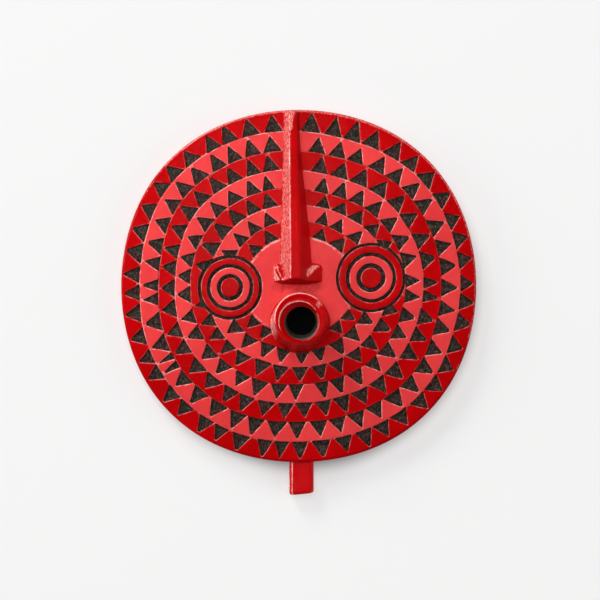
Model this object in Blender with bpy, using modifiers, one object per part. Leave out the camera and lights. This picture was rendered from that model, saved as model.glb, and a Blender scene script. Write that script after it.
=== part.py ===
"""A carved and painted wooden sun mask: a shallow round dome cut with seven rows of triangles.

The mask lies on its back, face up: +Z is the way it looks and +Y points to its crown. It is one
piece of wood. A long nose ridge runs down from the rim, two ringed eyes are cut flush into the
dome, the mouth is a pierced tube, a peg stands below the chin, and the back is hollowed.

Angles go clockwise from the crown as the face is seen. A place on the dome has a row coordinate:
0 is the rim, 1 the line between the first and second rows, and so on to 7, where the bare face starts.
"""

import math
import random

import bmesh
import bpy
from mathutils import Matrix, Vector

MM = 0.001

# Disc
DISC_RADIUS = 179.0 * MM
RIM_THICKNESS = 20.0 * MM
RIM_ROUNDING = 3.5 * MM
BACK_ROUNDING = 2.0 * MM
CROWN_RISE = 20.0 * MM
WALL = 16.0 * MM
BACK_RIM_WIDTH = 36.0 * MM
TURN_STEPS = 64
HOLLOW_STEPS = 4

# Rows of triangles, from the rim inwards
ROW_WIDTHS = [w * MM for w in (19.2, 19.5, 18.7, 18.4, 17.3, 17.6, 15.5)]
CUT_DEPTH = 2.4 * MM
APEX_MARGIN = 3.7 * MM
BASE_LAND = 0.8 * MM
BASE_SHARE = 0.95
CUTTER_REACH = 8.0 * MM
# Each arc of a row: the angle of its first triangle's apex, of its last one's, and how many it has
ROW_ARCS = (
    ((4.0, 89.0, 12), (96.0, 179.5, 12), (186.0, 267.5, 12), (274.5, 350.0, 11)),
    ((7.9, 90.3, 11), (98.3, 172.5, 10), (181.0, 264.2, 11), (271.0, 348.5, 11)),
    ((10.2, 88.0, 9), (94.7, 177.5, 10), (187.0, 268.6, 10), (278.0, 345.6, 9)),
    ((12.5, 87.0, 8), (95.3, 168.0, 8), (182.0, 265.2, 9), (274.6, 342.7, 8)),
    ((15.5, 64.0, 5), (105.0, 166.2, 6), (179.8, 218.5, 4), (229.5, 259.5, 4), (282.0, 339.5, 6)),
    ((18.7, 48.0, 3), (117.0, 178.4, 5), (194.0, 238.0, 4), (294.5, 334.7, 4)),
    ((22.8, 42.3, 2), (121.5, 139.0, 2), (216.5, 233.0, 2), (309.3, 327.5, 2)),
)
LONE_SPACING = 12.0
# One triangle of the second row was cut as two slivers, an arc and a place in it
SPLIT_CUT = (1, 2, 7)

# How far the hand-drawn lines stray from circles, from the rim to the bare face: each steps aside
# to the left, is drawn out into an oval, and bulges a little towards its corners
LINE_SIDESTEPS = [s * MM for s in (1.3, 1.7, 1.8, 2.5, 2.9, 2.9, 2.3, 1.2)]
LINE_OVALS = [s * MM for s in (0.7, 2.5, 3.0, 3.8, 4.4, 4.5, 3.6, 3.1)]
LINE_CORNERS = [s * MM for s in (1.9, 1.8, 1.8, 1.3, 1.1, 0.6, 0.2, 0.0)]
# Dents and bulges of the lines: middle and reach in degrees, how far out, first and last line
LINE_DENTS = (
    (20, 34, -2.8 * MM, 1, 4),
    (85, 30, 1.6 * MM, 1, 5),
    (125, 22, 1.1 * MM, 1, 2),
    (198, 22, 1.3 * MM, 1, 4),
    (274, 26, -2.0 * MM, 1, 3),
    (308, 20, 1.0 * MM, 1, 3),
    (58, 22, 2.6 * MM, 5, 6),
    (292, 50, -1.9 * MM, 5, 7),
    (205, 20, -1.6 * MM, 5, 7),
    (128, 24, -0.9 * MM, 5, 7),
)
APEX_STRAY = 0.7
BASE_STRAY = 0.08
MARGIN_STRAY = 0.8 * MM
CARVER_SEED = 11

# Eyes: centre, and the outer radius of pupil, groove, ring, groove, ring and last groove
LEFT_EYE_CENTRE = (-69.6 * MM, -1.5 * MM)
RIGHT_EYE_CENTRE = (70.6 * MM, 8.2 * MM)
LEFT_EYE_RADII = [r * MM for r in (9.3, 13.1, 19.8, 23.3, 29.2, 32.2)]
RIGHT_EYE_RADII = [r * MM for r in (10.0, 14.4, 21.6, 25.0, 32.0, 34.6)]
EYE_GROOVE_DEPTH = 3.0 * MM
EYE_SIDES = 28

# Nose ridge, from the rim down to its tip
NOSE_TOP_X = -8.6 * MM
NOSE_TIP_X = -3.9 * MM
NOSE_FOOT_Y = 2.0 * MM
NOSE_TOP_WIDTH = 15.0 * MM
NOSE_TIP_WIDTH = 32.0 * MM
NOSE_TOP_CREST = 6.5 * MM
NOSE_TIP_CREST = 11.0 * MM
NOSE_CREST_SHIFT = 1.6 * MM
NOSE_TOP_HEIGHT = 7.0 * MM
NOSE_TIP_HEIGHT = 20.0 * MM
NOSE_UNDERCUT = 7.0 * MM
NOSE_SECTIONS = 8
ROOT_DEPTH = 6.0 * MM

# Nostril wings
WING_X = -2.0 * MM
WING_SPAN = 48.0 * MM
WING_LENGTH = 22.0 * MM
WING_CREST = 0.45
WING_INNER_HEIGHT = 13.5 * MM
WING_OUTER_HEIGHT = 6.5 * MM
WING_SHARES = (-1.0, -0.93, -0.75, -0.45, 0.0, 0.45, 0.75, 0.93, 1.0)
WING_ROUNDING = 0.82

# Mouth tube: the centres of its foot, its front edge, the bevel inside that, and its bore
MOUTH_FOOT = (0.0 * MM, -37.2 * MM)
MOUTH_FRONT = (-0.7 * MM, -32.6 * MM)
MOUTH_BEVEL = (-1.2 * MM, -34.6 * MM)
MOUTH_BORE = (1.2 * MM, -36.9 * MM)
MOUTH_HEIGHT = 42.0 * MM
MOUTH_FOOT_RADIUS = 28.6 * MM
MOUTH_FRONT_RADIUS = 26.6 * MM
MOUTH_FRONT_ROUNDING = 4.0 * MM
MOUTH_BEVEL_RADIUS = 19.8 * MM
MOUTH_BEVEL_DEPTH = 7.0 * MM
MOUTH_BORE_RADIUS = 16.5 * MM
MOUTH_SIDES = 36

# Peg below the chin
PEG_X = 1.5 * MM
PEG_WIDTH = 25.0 * MM
PEG_LENGTH = 33.4 * MM
PEG_THICKNESS = 17.0 * MM
PEG_CHAMFER = 3.0 * MM
PEG_ROOT = 12.0 * MM

SHARP_ANGLE = math.radians(25.0)

RED = (0.60, 0.004, 0.010, 1.0)
CORAL = (0.88, 0.055, 0.060, 1.0)
BLACKENED = (0.020, 0.016, 0.014, 1.0)
BARE_WOOD = (0.30, 0.17, 0.09, 1.0)


def material(name, colour, roughness):
    made = bpy.data.materials.new(name)
    made.use_nodes = True
    shader = made.node_tree.nodes["Principled BSDF"]
    shader.inputs["Base Color"].default_value = colour
    shader.inputs["Roughness"].default_value = roughness
    shader.inputs["Metallic"].default_value = 0.0
    return made


def ring_radii():
    """Mean radius of each line between rows, from the rim to the edge of the bare face."""
    radii = [DISC_RADIUS]
    for width in ROW_WIDTHS:
        radii.append(radii[-1] - width)
    return radii


def stray(line, angle):
    """How far a hand-drawn line lies outside its mean circle at an angle in radians."""
    out = (
        -LINE_SIDESTEPS[line] * math.sin(angle)
        - LINE_OVALS[line] * math.cos(2 * angle)
        - LINE_CORNERS[line] * math.cos(4 * angle)
    )
    for middle, reach, amount, first, last in LINE_DENTS:
        off = (math.degrees(angle) - middle + 180) % 360 - 180
        if first <= line <= last and abs(off) < reach:
            out += amount * math.cos(math.radians(90 * off / reach)) ** 2
    return out


def drawn_radius(row, angle):
    """Radius of a row coordinate at an angle: straight between the lines on either side of it."""
    radii = ring_radii()
    last = len(radii) - 1
    if row >= last:
        share = max(0.0, (last + 1 - row))
        return share * (radii[last] + stray(last, angle))
    line = max(0, int(row))
    share = row - line
    outer = radii[line] + stray(line, angle)
    inner = radii[line + 1] + stray(line + 1, angle)
    return outer + (inner - outer) * share


def row_of_mean(radius):
    """Row coordinate of a radius on the undrawn, truly round disc."""
    radii = ring_radii()
    for line in range(len(radii) - 1):
        if radius >= radii[line + 1]:
            return line + (radii[line] - radius) / (radii[line] - radii[line + 1])
    return len(radii) - radius / radii[-1]


def mean_of_row(row):
    """Radius of a row coordinate on the truly round disc."""
    radii = ring_radii()
    last = len(radii) - 1
    if row >= last:
        return (last + 1 - row) * radii[last]
    line = max(0, int(row))
    return radii[line] + (radii[line + 1] - radii[line]) * (row - line)


def row_at(x, y):
    """Row coordinate of a place on the dome."""
    angle = math.atan2(x, y)
    radius = math.hypot(x, y)
    radii = ring_radii()
    last = len(radii) - 1
    for line in range(last):
        outer = radii[line] + stray(line, angle)
        inner = radii[line + 1] + stray(line + 1, angle)
        if radius >= inner:
            return line + (outer - radius) / (outer - inner)
    return last + 1 - radius / (radii[last] + stray(last, angle))


def dome_z(mean_radius):
    return RIM_THICKNESS + CROWN_RISE * (1.0 - (mean_radius / DISC_RADIUS) ** 2)


def front_z(x, y):
    """Height of the uncut dome over a place."""
    return dome_z(mean_of_row(row_at(x, y)))


def place(row, angle):
    radius = drawn_radius(row, angle)
    return Vector((radius * math.sin(angle), radius * math.cos(angle)))


def finished(form, name):
    """A mesh from a closed form, with every face turned outwards."""
    bmesh.ops.recalc_face_normals(form, faces=form.faces)
    mesh = bpy.data.meshes.new(name)
    form.to_mesh(mesh)
    form.free()
    return mesh


def add_object(name, mesh, collection, finish=None):
    made = bpy.data.objects.new(name, mesh)
    collection.objects.link(made)
    if finish:
        mesh.materials.append(finish)
    return made


def baked(thing, name):
    """A mesh with the object's modifiers applied. The object is removed."""
    bpy.context.view_layer.update()
    graph = bpy.context.evaluated_depsgraph_get()
    mesh = bpy.data.meshes.new_from_object(thing.evaluated_get(graph))
    mesh.name = name
    bpy.data.objects.remove(thing)
    return mesh


def loft(name, loops):
    """A closed mesh through loops of as many points each."""
    form = bmesh.new()
    rings = [[form.verts.new(point) for point in loop] for loop in loops]
    sides = len(rings[0])
    form.faces.new(rings[0])
    form.faces.new(rings[-1])
    for lower, upper in zip(rings, rings[1:]):
        for i in range(sides):
            j = (i + 1) % sides
            form.faces.new((lower[i], lower[j], upper[j], upper[i]))
    return finished(form, name)


def circle(centre, radius, height, sides):
    step = 2 * math.pi / sides
    return [
        Vector((centre[0] + radius * math.cos(i * step), centre[1] + radius * math.sin(i * step), height))
        for i in range(sides)
    ]


def boolean(thing, other, operation):
    """The object after a union with, or a cut by, another, which is removed."""
    step = thing.modifiers.new(operation.lower(), "BOOLEAN")
    step.operation = operation
    step.object = other
    step.solver = "EXACT"
    step.material_mode = "TRANSFER"
    name, collection = thing.name, thing.users_collection[0]
    mesh = baked(thing, name)
    bpy.data.objects.remove(other)
    return add_object(name, mesh, collection)


def disc_profile():
    """Half section of the disc, from the crown over the rim to the middle of the hollow back."""
    radii = ring_radii()
    points = [(0.0, dome_z(0.0))]
    points += [(radius, dome_z(radius)) for radius in reversed(radii[1:])]
    edge = DISC_RADIUS - RIM_ROUNDING
    for turn in (0.0, 45.0, 90.0):
        angle = math.radians(turn)
        points.append(
            (
                edge + RIM_ROUNDING * math.sin(angle),
                dome_z(edge) - RIM_ROUNDING * (1.0 - math.cos(angle)),
            )
        )
    points.append((DISC_RADIUS, BACK_ROUNDING))
    points.append((DISC_RADIUS - BACK_ROUNDING, 0.0))
    hollow_radius = DISC_RADIUS - BACK_RIM_WIDTH
    hollow_depth = dome_z(0.0) - WALL
    for step in range(HOLLOW_STEPS):
        angle = 0.5 * math.pi * step / HOLLOW_STEPS
        points.append((hollow_radius * math.cos(angle), hollow_depth * math.sin(angle)))
    points.append((0.0, hollow_depth))
    return points


def turned_disc(cutters):
    """The uncut disc: the profile turned round, then drawn out to the hand-drawn rings."""
    form = bmesh.new()
    verts = [form.verts.new((radius, 0.0, z)) for radius, z in disc_profile()]
    for start, end in zip(verts, verts[1:]):
        form.edges.new((start, end))
    profile = bpy.data.meshes.new("disc_profile")
    form.to_mesh(profile)
    form.free()
    turned = add_object("disc_profile", profile, cutters)
    screw = turned.modifiers.new("turn", "SCREW")
    screw.axis = "Z"
    screw.steps = TURN_STEPS
    screw.render_steps = TURN_STEPS
    screw.use_merge_vertices = True
    screw.merge_threshold = 0.00001
    mesh = baked(turned, "sun_mask")
    for vertex in mesh.vertices:
        radius = math.hypot(vertex.co.x, vertex.co.y)
        if radius > 0:
            angle = math.atan2(vertex.co.x, vertex.co.y)
            drawn = drawn_radius(row_of_mean(radius), angle)
            vertex.co.x *= drawn / radius
            vertex.co.y *= drawn / radius
    return mesh


def paint_rows(mesh, paints):
    """Gives each face of the uncut disc its paint: red and coral rows, coral face, bare back."""
    for paint in paints:
        mesh.materials.append(paint)
    red, coral, bare = range(3)
    hollow_radius = DISC_RADIUS - BACK_RIM_WIDTH
    for face in mesh.polygons:
        x, y, z = face.center
        row = int(row_at(x, y))
        if face.normal.z < -0.5 or (math.hypot(x, y) < hollow_radius and z < dome_z(0.0) - WALL):
            face.material_index = bare
        elif row >= len(ROW_WIDTHS) or row % 2:
            face.material_index = coral
        else:
            face.material_index = red


def carved_bases(row, arcs, carver):
    """The apex angle and half base, in degrees, of each triangle of a row, none touching the next."""
    bases = []
    for arc, (first, last, count) in enumerate(arcs):
        spacing = (last - first) / (count - 1) if count > 1 else LONE_SPACING
        for i in range(count):
            apex = first + i * spacing + carver.uniform(-APEX_STRAY, APEX_STRAY)
            half = 0.5 * spacing * BASE_SHARE * (1 + carver.uniform(-BASE_STRAY, BASE_STRAY))
            if (row, arc, i) == SPLIT_CUT:
                bases += [(apex - 0.5 * half, 0.4 * half), (apex + 0.5 * half, 0.4 * half)]
            else:
                bases.append((apex, half))
    bases.sort()
    land = math.degrees(BASE_LAND / ring_radii()[row + 1])
    for i in range(len(bases) - 1):
        (apex, half), (next_apex, next_half) = bases[i], bases[i + 1]
        fit = min(1.0, (next_apex - apex - land) / (half + next_half))
        bases[i] = (apex, half * fit)
        bases[i + 1] = (next_apex, next_half * fit)
    return bases


def triangle_outlines():
    """Plan outlines of every carved triangle, as three corners of (row coordinate, angle)."""
    carver = random.Random(CARVER_SEED)
    outlines = []
    for row, arcs in enumerate(ROW_ARCS):
        width = ROW_WIDTHS[row]
        base = row + 1 - BASE_LAND / width
        for apex, half in carved_bases(row, arcs, carver):
            margin = APEX_MARGIN + carver.uniform(-MARGIN_STRAY, MARGIN_STRAY)
            outlines.append(((row + margin / width, apex), (base, apex + half), (base, apex - half)))
    return outlines


def triangle_cutters(cutters, finish):
    """One object that holds a three-sided cutter for each carved triangle."""
    form = bmesh.new()
    for corners in triangle_outlines():
        floor, top = [], []
        for row, degrees in reversed(corners):
            x, y = place(row, math.radians(degrees))
            z = front_z(x, y)
            floor.append(form.verts.new((x, y, z - CUT_DEPTH)))
            top.append(form.verts.new((x, y, z + CUTTER_REACH)))
        form.faces.new(reversed(floor))
        form.faces.new(top)
        for i in range(3):
            j = (i + 1) % 3
            form.faces.new((floor[i], floor[j], top[j], top[i]))
    return add_object("triangle_cutters", finished(form, "triangle_cutters"), cutters, finish)


def eye_blank(name, centre, radii, cutters):
    """A cylinder out to the middle of an eye's last groove, which keeps the triangles out of it."""
    radius = (radii[-2] + radii[-1]) / 2
    low = circle(centre, radius, 0.0, EYE_SIDES)
    high = circle(centre, radius, dome_z(0.0) + 2 * CUTTER_REACH, EYE_SIDES)
    return add_object(name, loft(name, [low, high]), cutters)


def groove_cutter(name, centre, inner, outer, cutters, finish):
    """A ring that follows the dome and cuts a groove of even depth between two radii."""
    form = bmesh.new()
    sections = []
    for i in range(EYE_SIDES):
        angle = 2 * math.pi * i / EYE_SIDES
        section = []
        for radius in (inner, outer):
            x = centre[0] + radius * math.cos(angle)
            y = centre[1] + radius * math.sin(angle)
            z = front_z(x, y)
            section += [(x, y, z - EYE_GROOVE_DEPTH), (x, y, z + CUTTER_REACH)]
        inner_low, inner_high, outer_low, outer_high = (form.verts.new(p) for p in section)
        sections.append((inner_low, outer_low, outer_high, inner_high))
    for i, near in enumerate(sections):
        far = sections[(i + 1) % EYE_SIDES]
        for a in range(4):
            b = (a + 1) % 4
            form.faces.new((near[a], near[b], far[b], far[a]))
    return add_object(name, finished(form, name), cutters, finish)


def nose_loops():
    """Sections of the nose ridge from the rim to the tip, each a trapezoid that reaches into the disc."""
    top_y = drawn_radius(0, 0.0)
    loops = []
    for i in range(NOSE_SECTIONS):
        share = i / (NOSE_SECTIONS - 1)
        eased = share * share * (3 - 2 * share)
        x = NOSE_TOP_X + (NOSE_TIP_X - NOSE_TOP_X) * eased
        y = top_y + (NOSE_FOOT_Y - top_y) * share
        width = NOSE_TOP_WIDTH + (NOSE_TIP_WIDTH - NOSE_TOP_WIDTH) * eased
        crest = NOSE_TOP_CREST + (NOSE_TIP_CREST - NOSE_TOP_CREST) * share
        middle = x + NOSE_CREST_SHIFT * (1 - eased)
        height = NOSE_TOP_HEIGHT + (NOSE_TIP_HEIGHT - NOSE_TOP_HEIGHT) * share
        surface = front_z(x, y * 0.995)
        lean = NOSE_UNDERCUT * share if i == NOSE_SECTIONS - 1 else 0.0
        low = surface - ROOT_DEPTH
        high = surface + height
        loops.append(
            [
                Vector((x - width / 2, y, low)),
                Vector((x - width / 2, y, surface)),
                Vector((middle - crest / 2, y + lean, high)),
                Vector((middle + crest / 2, y + lean, high)),
                Vector((x + width / 2, y, surface)),
                Vector((x + width / 2, y, low)),
            ]
        )
    return loops


def wing_loops():
    """Sections of the nostril wings, from one rounded end through the ridge to the other."""
    loops = []
    for share in WING_SHARES:
        x = WING_X + share * WING_SPAN / 2
        rounded = math.sqrt(1 - (WING_ROUNDING * share) ** 2)
        height = WING_OUTER_HEIGHT + (WING_INNER_HEIGHT - WING_OUTER_HEIGHT) * (1 - share ** 2)
        surface = front_z(x, NOSE_FOOT_Y)
        foot = NOSE_FOOT_Y + WING_LENGTH * (1 - rounded) / 4
        lean = foot + NOSE_UNDERCUT * height / NOSE_TIP_HEIGHT
        top = NOSE_FOOT_Y + WING_LENGTH * rounded
        crest = lean + (top - lean) * WING_CREST
        loops.append(
            [
                Vector((x, foot, surface - ROOT_DEPTH)),
                Vector((x, foot, surface)),
                Vector((x, lean, surface + height)),
                Vector((x, crest, surface + height)),
                Vector((x, top, surface)),
                Vector((x, top, surface - ROOT_DEPTH)),
            ]
        )
    return loops


def mouth_tube(cutters):
    """The outside of the mouth, which leans from its foot to its rounded front edge."""
    foot = front_z(*MOUTH_FOOT)
    shoulder = foot + MOUTH_HEIGHT - MOUTH_FRONT_ROUNDING
    loops = [
        circle(MOUTH_FOOT, MOUTH_FOOT_RADIUS, foot - ROOT_DEPTH, MOUTH_SIDES),
        circle(MOUTH_FOOT, MOUTH_FOOT_RADIUS, foot, MOUTH_SIDES),
    ]
    for turn in (0.0, 30.0, 60.0, 90.0):
        angle = math.radians(turn)
        radius = MOUTH_FRONT_RADIUS - MOUTH_FRONT_ROUNDING * (1 - math.cos(angle))
        height = shoulder + MOUTH_FRONT_ROUNDING * math.sin(angle)
        loops.append(circle(MOUTH_FRONT, radius, height, MOUTH_SIDES))
    return add_object("mouth_tube", loft("mouth_tube", loops), cutters)


def mouth_bore(cutters, finish):
    """The hole through the mouth, bevelled at the front and open to the hollow."""
    front = front_z(*MOUTH_FOOT) + MOUTH_HEIGHT
    widening = (MOUTH_BEVEL_RADIUS - MOUTH_BORE_RADIUS) / MOUTH_BEVEL_DEPTH
    over = MOUTH_BEVEL_RADIUS + widening * CUTTER_REACH
    loops = [
        circle(MOUTH_BORE, MOUTH_BORE_RADIUS, -CUTTER_REACH, MOUTH_SIDES),
        circle(MOUTH_BORE, MOUTH_BORE_RADIUS, front - MOUTH_BEVEL_DEPTH, MOUTH_SIDES),
        circle(MOUTH_BEVEL, MOUTH_BEVEL_RADIUS, front, MOUTH_SIDES),
        circle(MOUTH_BEVEL, over, front + CUTTER_REACH, MOUTH_SIDES),
    ]
    return add_object("mouth_bore", loft("mouth_bore", loops), cutters, finish)


def peg(cutters):
    """The peg below the chin: a chamfered bar, flush with the back of the disc."""
    rim_y = -drawn_radius(0, math.pi)
    loops = []
    half = PEG_WIDTH / 2
    for inset, y in (
        (PEG_CHAMFER, rim_y - PEG_LENGTH),
        (0.0, rim_y - PEG_LENGTH + PEG_CHAMFER),
        (0.0, rim_y + PEG_ROOT),
    ):
        left, right = PEG_X - half + inset, PEG_X + half - inset
        high = PEG_THICKNESS - inset / 2
        low = BACK_ROUNDING / 4 + inset / 2
        cut = PEG_CHAMFER
        loops.append(
            [
                Vector((left, y, low)),
                Vector((left, y, high - cut)),
                Vector((left + cut, y, high)),
                Vector((right - cut, y, high)),
                Vector((right, y, high - cut)),
                Vector((right, y, low)),
            ]
        )
    return add_object("peg", loft("peg", loops), cutters)


def on_its_back(mesh):
    """Sets the mask down with the middle of its outline over the origin and its back at height 0."""
    low = Vector([min(v.co[i] for v in mesh.vertices) for i in range(3)])
    high = Vector([max(v.co[i] for v in mesh.vertices) for i in range(3)])
    middle = (low + high) / 2
    mesh.transform(Matrix.Translation((-middle.x, -middle.y, -low.z)))
    mesh.shade_smooth()
    mesh.set_sharp_from_angle(angle=SHARP_ANGLE)


def main():
    for old in list(bpy.data.objects):
        bpy.data.objects.remove(old)
    mask_parts = bpy.data.collections.new("sun_mask")
    cutters = bpy.data.collections.new("cutters")
    cutters.hide_render = True
    for collection in (mask_parts, cutters):
        bpy.context.scene.collection.children.link(collection)

    red = material("red_paint", RED, 0.38)
    coral = material("coral_paint", CORAL, 0.38)
    blackened = material("blackened_cut", BLACKENED, 0.8)
    bare = material("bare_wood", BARE_WOOD, 0.75)

    disc = turned_disc(cutters)
    paint_rows(disc, (red, coral, bare))
    mask = add_object("sun_mask", disc, mask_parts)

    cuts = triangle_cutters(cutters, blackened)
    eyes = (
        ("left_eye", LEFT_EYE_CENTRE, LEFT_EYE_RADII),
        ("right_eye", RIGHT_EYE_CENTRE, RIGHT_EYE_RADII),
    )
    for name, centre, radii in eyes:
        cuts = boolean(cuts, eye_blank(name + "_blank", centre, radii, cutters), "DIFFERENCE")
    mask = boolean(mask, cuts, "DIFFERENCE")
    for name, centre, radii in eyes:
        for inner, outer in ((0, 1), (2, 3), (4, 5)):
            groove = groove_cutter(name + "_groove", centre, radii[inner], radii[outer], cutters, blackened)
            mask = boolean(mask, groove, "DIFFERENCE")

    additions = (
        add_object("nose_ridge", loft("nose_ridge", nose_loops()), cutters),
        add_object("nostril_wings", loft("nostril_wings", wing_loops()), cutters),
        mouth_tube(cutters),
        peg(cutters),
    )
    for addition in additions:
        addition.data.materials.append(red)
        mask = boolean(mask, addition, "UNION")
    mask = boolean(mask, mouth_bore(cutters, blackened), "DIFFERENCE")
    on_its_back(mask.data)


main()
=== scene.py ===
"""Looks of the carved sun mask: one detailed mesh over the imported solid, its paints and its light.

Lengths in the mesh code are millimetres in the mask's own plan, with the middle of the disc at
(0, 0), +Y to the crown and +Z out of the face. Angles go clockwise from the crown. A row coordinate
is 0 at the rim, 1 at the line between the first and second rows, and so on to 7, where the bare
face starts.
"""

import math
import random

import bpy
import numpy as np
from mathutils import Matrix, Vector
from mathutils.geometry import delaunay_2d_cdt
from mathutils.kdtree import KDTree


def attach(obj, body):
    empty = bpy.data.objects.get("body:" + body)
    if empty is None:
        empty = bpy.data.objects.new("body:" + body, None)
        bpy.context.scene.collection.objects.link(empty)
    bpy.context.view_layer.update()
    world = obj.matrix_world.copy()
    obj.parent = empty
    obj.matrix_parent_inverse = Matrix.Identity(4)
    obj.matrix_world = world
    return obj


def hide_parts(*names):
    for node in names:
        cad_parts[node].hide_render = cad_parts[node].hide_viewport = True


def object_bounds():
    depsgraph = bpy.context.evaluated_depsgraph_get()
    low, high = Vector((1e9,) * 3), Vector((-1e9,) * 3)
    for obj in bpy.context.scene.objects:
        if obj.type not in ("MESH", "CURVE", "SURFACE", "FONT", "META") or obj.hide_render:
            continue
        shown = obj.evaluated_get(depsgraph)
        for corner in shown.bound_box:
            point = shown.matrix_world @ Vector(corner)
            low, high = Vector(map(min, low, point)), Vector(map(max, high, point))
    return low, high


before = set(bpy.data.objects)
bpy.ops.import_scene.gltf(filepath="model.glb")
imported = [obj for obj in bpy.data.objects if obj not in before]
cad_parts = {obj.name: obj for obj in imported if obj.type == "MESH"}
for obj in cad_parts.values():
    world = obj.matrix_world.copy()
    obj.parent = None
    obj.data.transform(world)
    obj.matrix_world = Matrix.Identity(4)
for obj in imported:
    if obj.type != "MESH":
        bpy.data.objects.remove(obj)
CAD_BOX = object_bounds()

MM = 0.001

# Disc
DISC_RADIUS = 179.0
RIM_THICKNESS = 20.0
RIM_ROUNDING = 2.3
BACK_ROUNDING = 2.0
CROWN_RISE = 20.0
WALL = 16.0
BACK_RIM_WIDTH = 36.0
HOLLOW_RADIUS = DISC_RADIUS - BACK_RIM_WIDTH
HOLLOW_ROWS = (0, 0.8, 2.2, 4.5)
HOLLOW_POINTS = 360
RIM_POINTS = 560
FRONT_EDGE = 1.0

# Rows of triangles, from the rim inwards
ROW_WIDTHS = np.array((19.2, 19.5, 18.7, 18.4, 17.3, 17.6, 15.5))
CUT_DEPTH = 2.4
APEX_MARGIN = 3.7
BASE_LAND = 0.8
BASE_SHARE = 0.95
ROW_ARCS = (
    ((4.0, 89.0, 12), (96.0, 179.5, 12), (186.0, 267.5, 12), (274.5, 350.0, 11)),
    ((7.9, 90.3, 11), (98.3, 172.5, 10), (181.0, 264.2, 11), (271.0, 348.5, 11)),
    ((10.2, 88.0, 9), (94.7, 177.5, 10), (187.0, 268.6, 10), (278.0, 345.6, 9)),
    ((12.5, 87.0, 8), (95.3, 168.0, 8), (182.0, 265.2, 9), (274.6, 342.7, 8)),
    ((15.5, 64.0, 5), (105.0, 166.2, 6), (179.8, 218.5, 4), (229.5, 259.5, 4), (282.0, 339.5, 6)),
    ((18.7, 48.0, 3), (117.0, 178.4, 5), (194.0, 238.0, 4), (294.5, 334.7, 4)),
    ((22.8, 42.3, 2), (121.5, 139.0, 2), (216.5, 233.0, 2), (309.3, 327.5, 2)),
)
LONE_SPACING = 12.0
# One triangle was cut as two slivers: its row, arc and number, their places and half bases
SPLIT_CUT = (1, 2, 7)
SPLIT_SIDES = (-0.5, 0.5)
SPLIT_HALF = 0.4
LINE_SIDESTEPS = np.array((1.3, 1.7, 1.8, 2.5, 2.9, 2.9, 2.3, 1.2))
LINE_OVALS = np.array((0.7, 2.5, 3.0, 3.8, 4.4, 4.5, 3.6, 3.1))
LINE_CORNERS = np.array((1.9, 1.8, 1.8, 1.3, 1.1, 0.6, 0.2, 0.0))
# Dents and bulges of the lines: middle and reach in degrees, how far out, first and last line
LINE_DENTS = (
    (20, 34, -2.8, 1, 4),
    (85, 30, 1.6, 1, 5),
    (125, 22, 1.1, 1, 2),
    (198, 22, 1.3, 1, 4),
    (274, 26, -2.0, 1, 3),
    (308, 20, 1.0, 1, 3),
    (58, 22, 2.6, 5, 6),
    (292, 50, -1.9, 5, 7),
    (205, 20, -1.6, 5, 7),
    (128, 24, -0.9, 5, 7),
)
APEX_STRAY = 0.7
BASE_STRAY = 0.08
MARGIN_STRAY = 0.8
CARVER_SEED = 11

# How a cut goes down, by the distance in from its outline: the lip, the end of its roll and the
# drop there, and the foot of the wall
LIP = -0.62
ROLL_END = 0.15
ROLL_DROP = 0.6
WALL_FOOT = 0.55
BASE_GAP = 0.1
SHALLOW_APEX = 0.6
APEX_CURVE = 0.8
ROLL_CURVE = 1.3
CORNER_ROUNDING = (0.45, 0.9)
BLUNT_APEX = (0.2, 1.5)
MOST_BLUNT = 0.3
MOST_ROUNDED = 0.12
APEX_LEAN = 0.5
DEPTH_STRAY = (0.92, 1.05)
LIP_SPACING = 1.7
LAND_CONTOUR = -1.0
# The lip distance of a place that no lip is near, and a wing's height where none is
FAR = -9.0

# The scored line between two rows: its middle, measured out from the drawn line, and its two sides
SCORE_MIDDLE = 0.45
SCORE_OUTER = 0.35
SCORE_INNER = 0.95

# Spacing of the mesh's points, and the least gap of a free point: on open land, on the nose, on the
# back, at the rim and at the lips, and then round the scored lines and the eyes
LATTICE = 2.1
LAND_GAP = 1.05
FINE_LATTICE = 1.15
NOSE_SPACING = 1.5
NOSE_GAP = 0.5
BACK_LATTICE = 3.6
BACK_GAP = 1.6
RIM_ROWS = (1.9, 2.9)
RIM_GAP = 0.6
LIP_GAP = 0.45
MOUTH_MARGIN = 0.4
SCORE_SPACING = 1.6
EYE_POINTS = 40
EYE_DENSITY = 4.2

# Eyes: centre, and the outer radius of pupil, groove, ring, groove, ring and last groove
EYES = (
    ((-69.6, -1.5), (9.3, 13.1, 19.8, 23.3, 29.2, 32.2)),
    ((70.6, 8.2), (10.0, 14.4, 21.6, 25.0, 32.0, 34.6)),
)
EYE_GROOVE_DEPTH = 3.0

# Nose ridge, from the rim down to its tip
NOSE_TOP_X = -8.6
NOSE_TIP_X = -3.9
NOSE_FOOT_Y = 2.0
NOSE_TOP_WIDTH = 15.0
NOSE_TIP_WIDTH = 32.0
NOSE_TOP_CREST = 6.5
NOSE_TIP_CREST = 11.0
NOSE_CREST_SHIFT = 1.6
NOSE_TOP_HEIGHT = 7.0
NOSE_TIP_HEIGHT = 20.0
NOSE_UNDERCUT = 5.2
NOSE_UNDERCUT_CURVE = 1.8
NOSE_UNDERCUT_START = -0.8
NOSE_ROUNDING = 1.3

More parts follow.
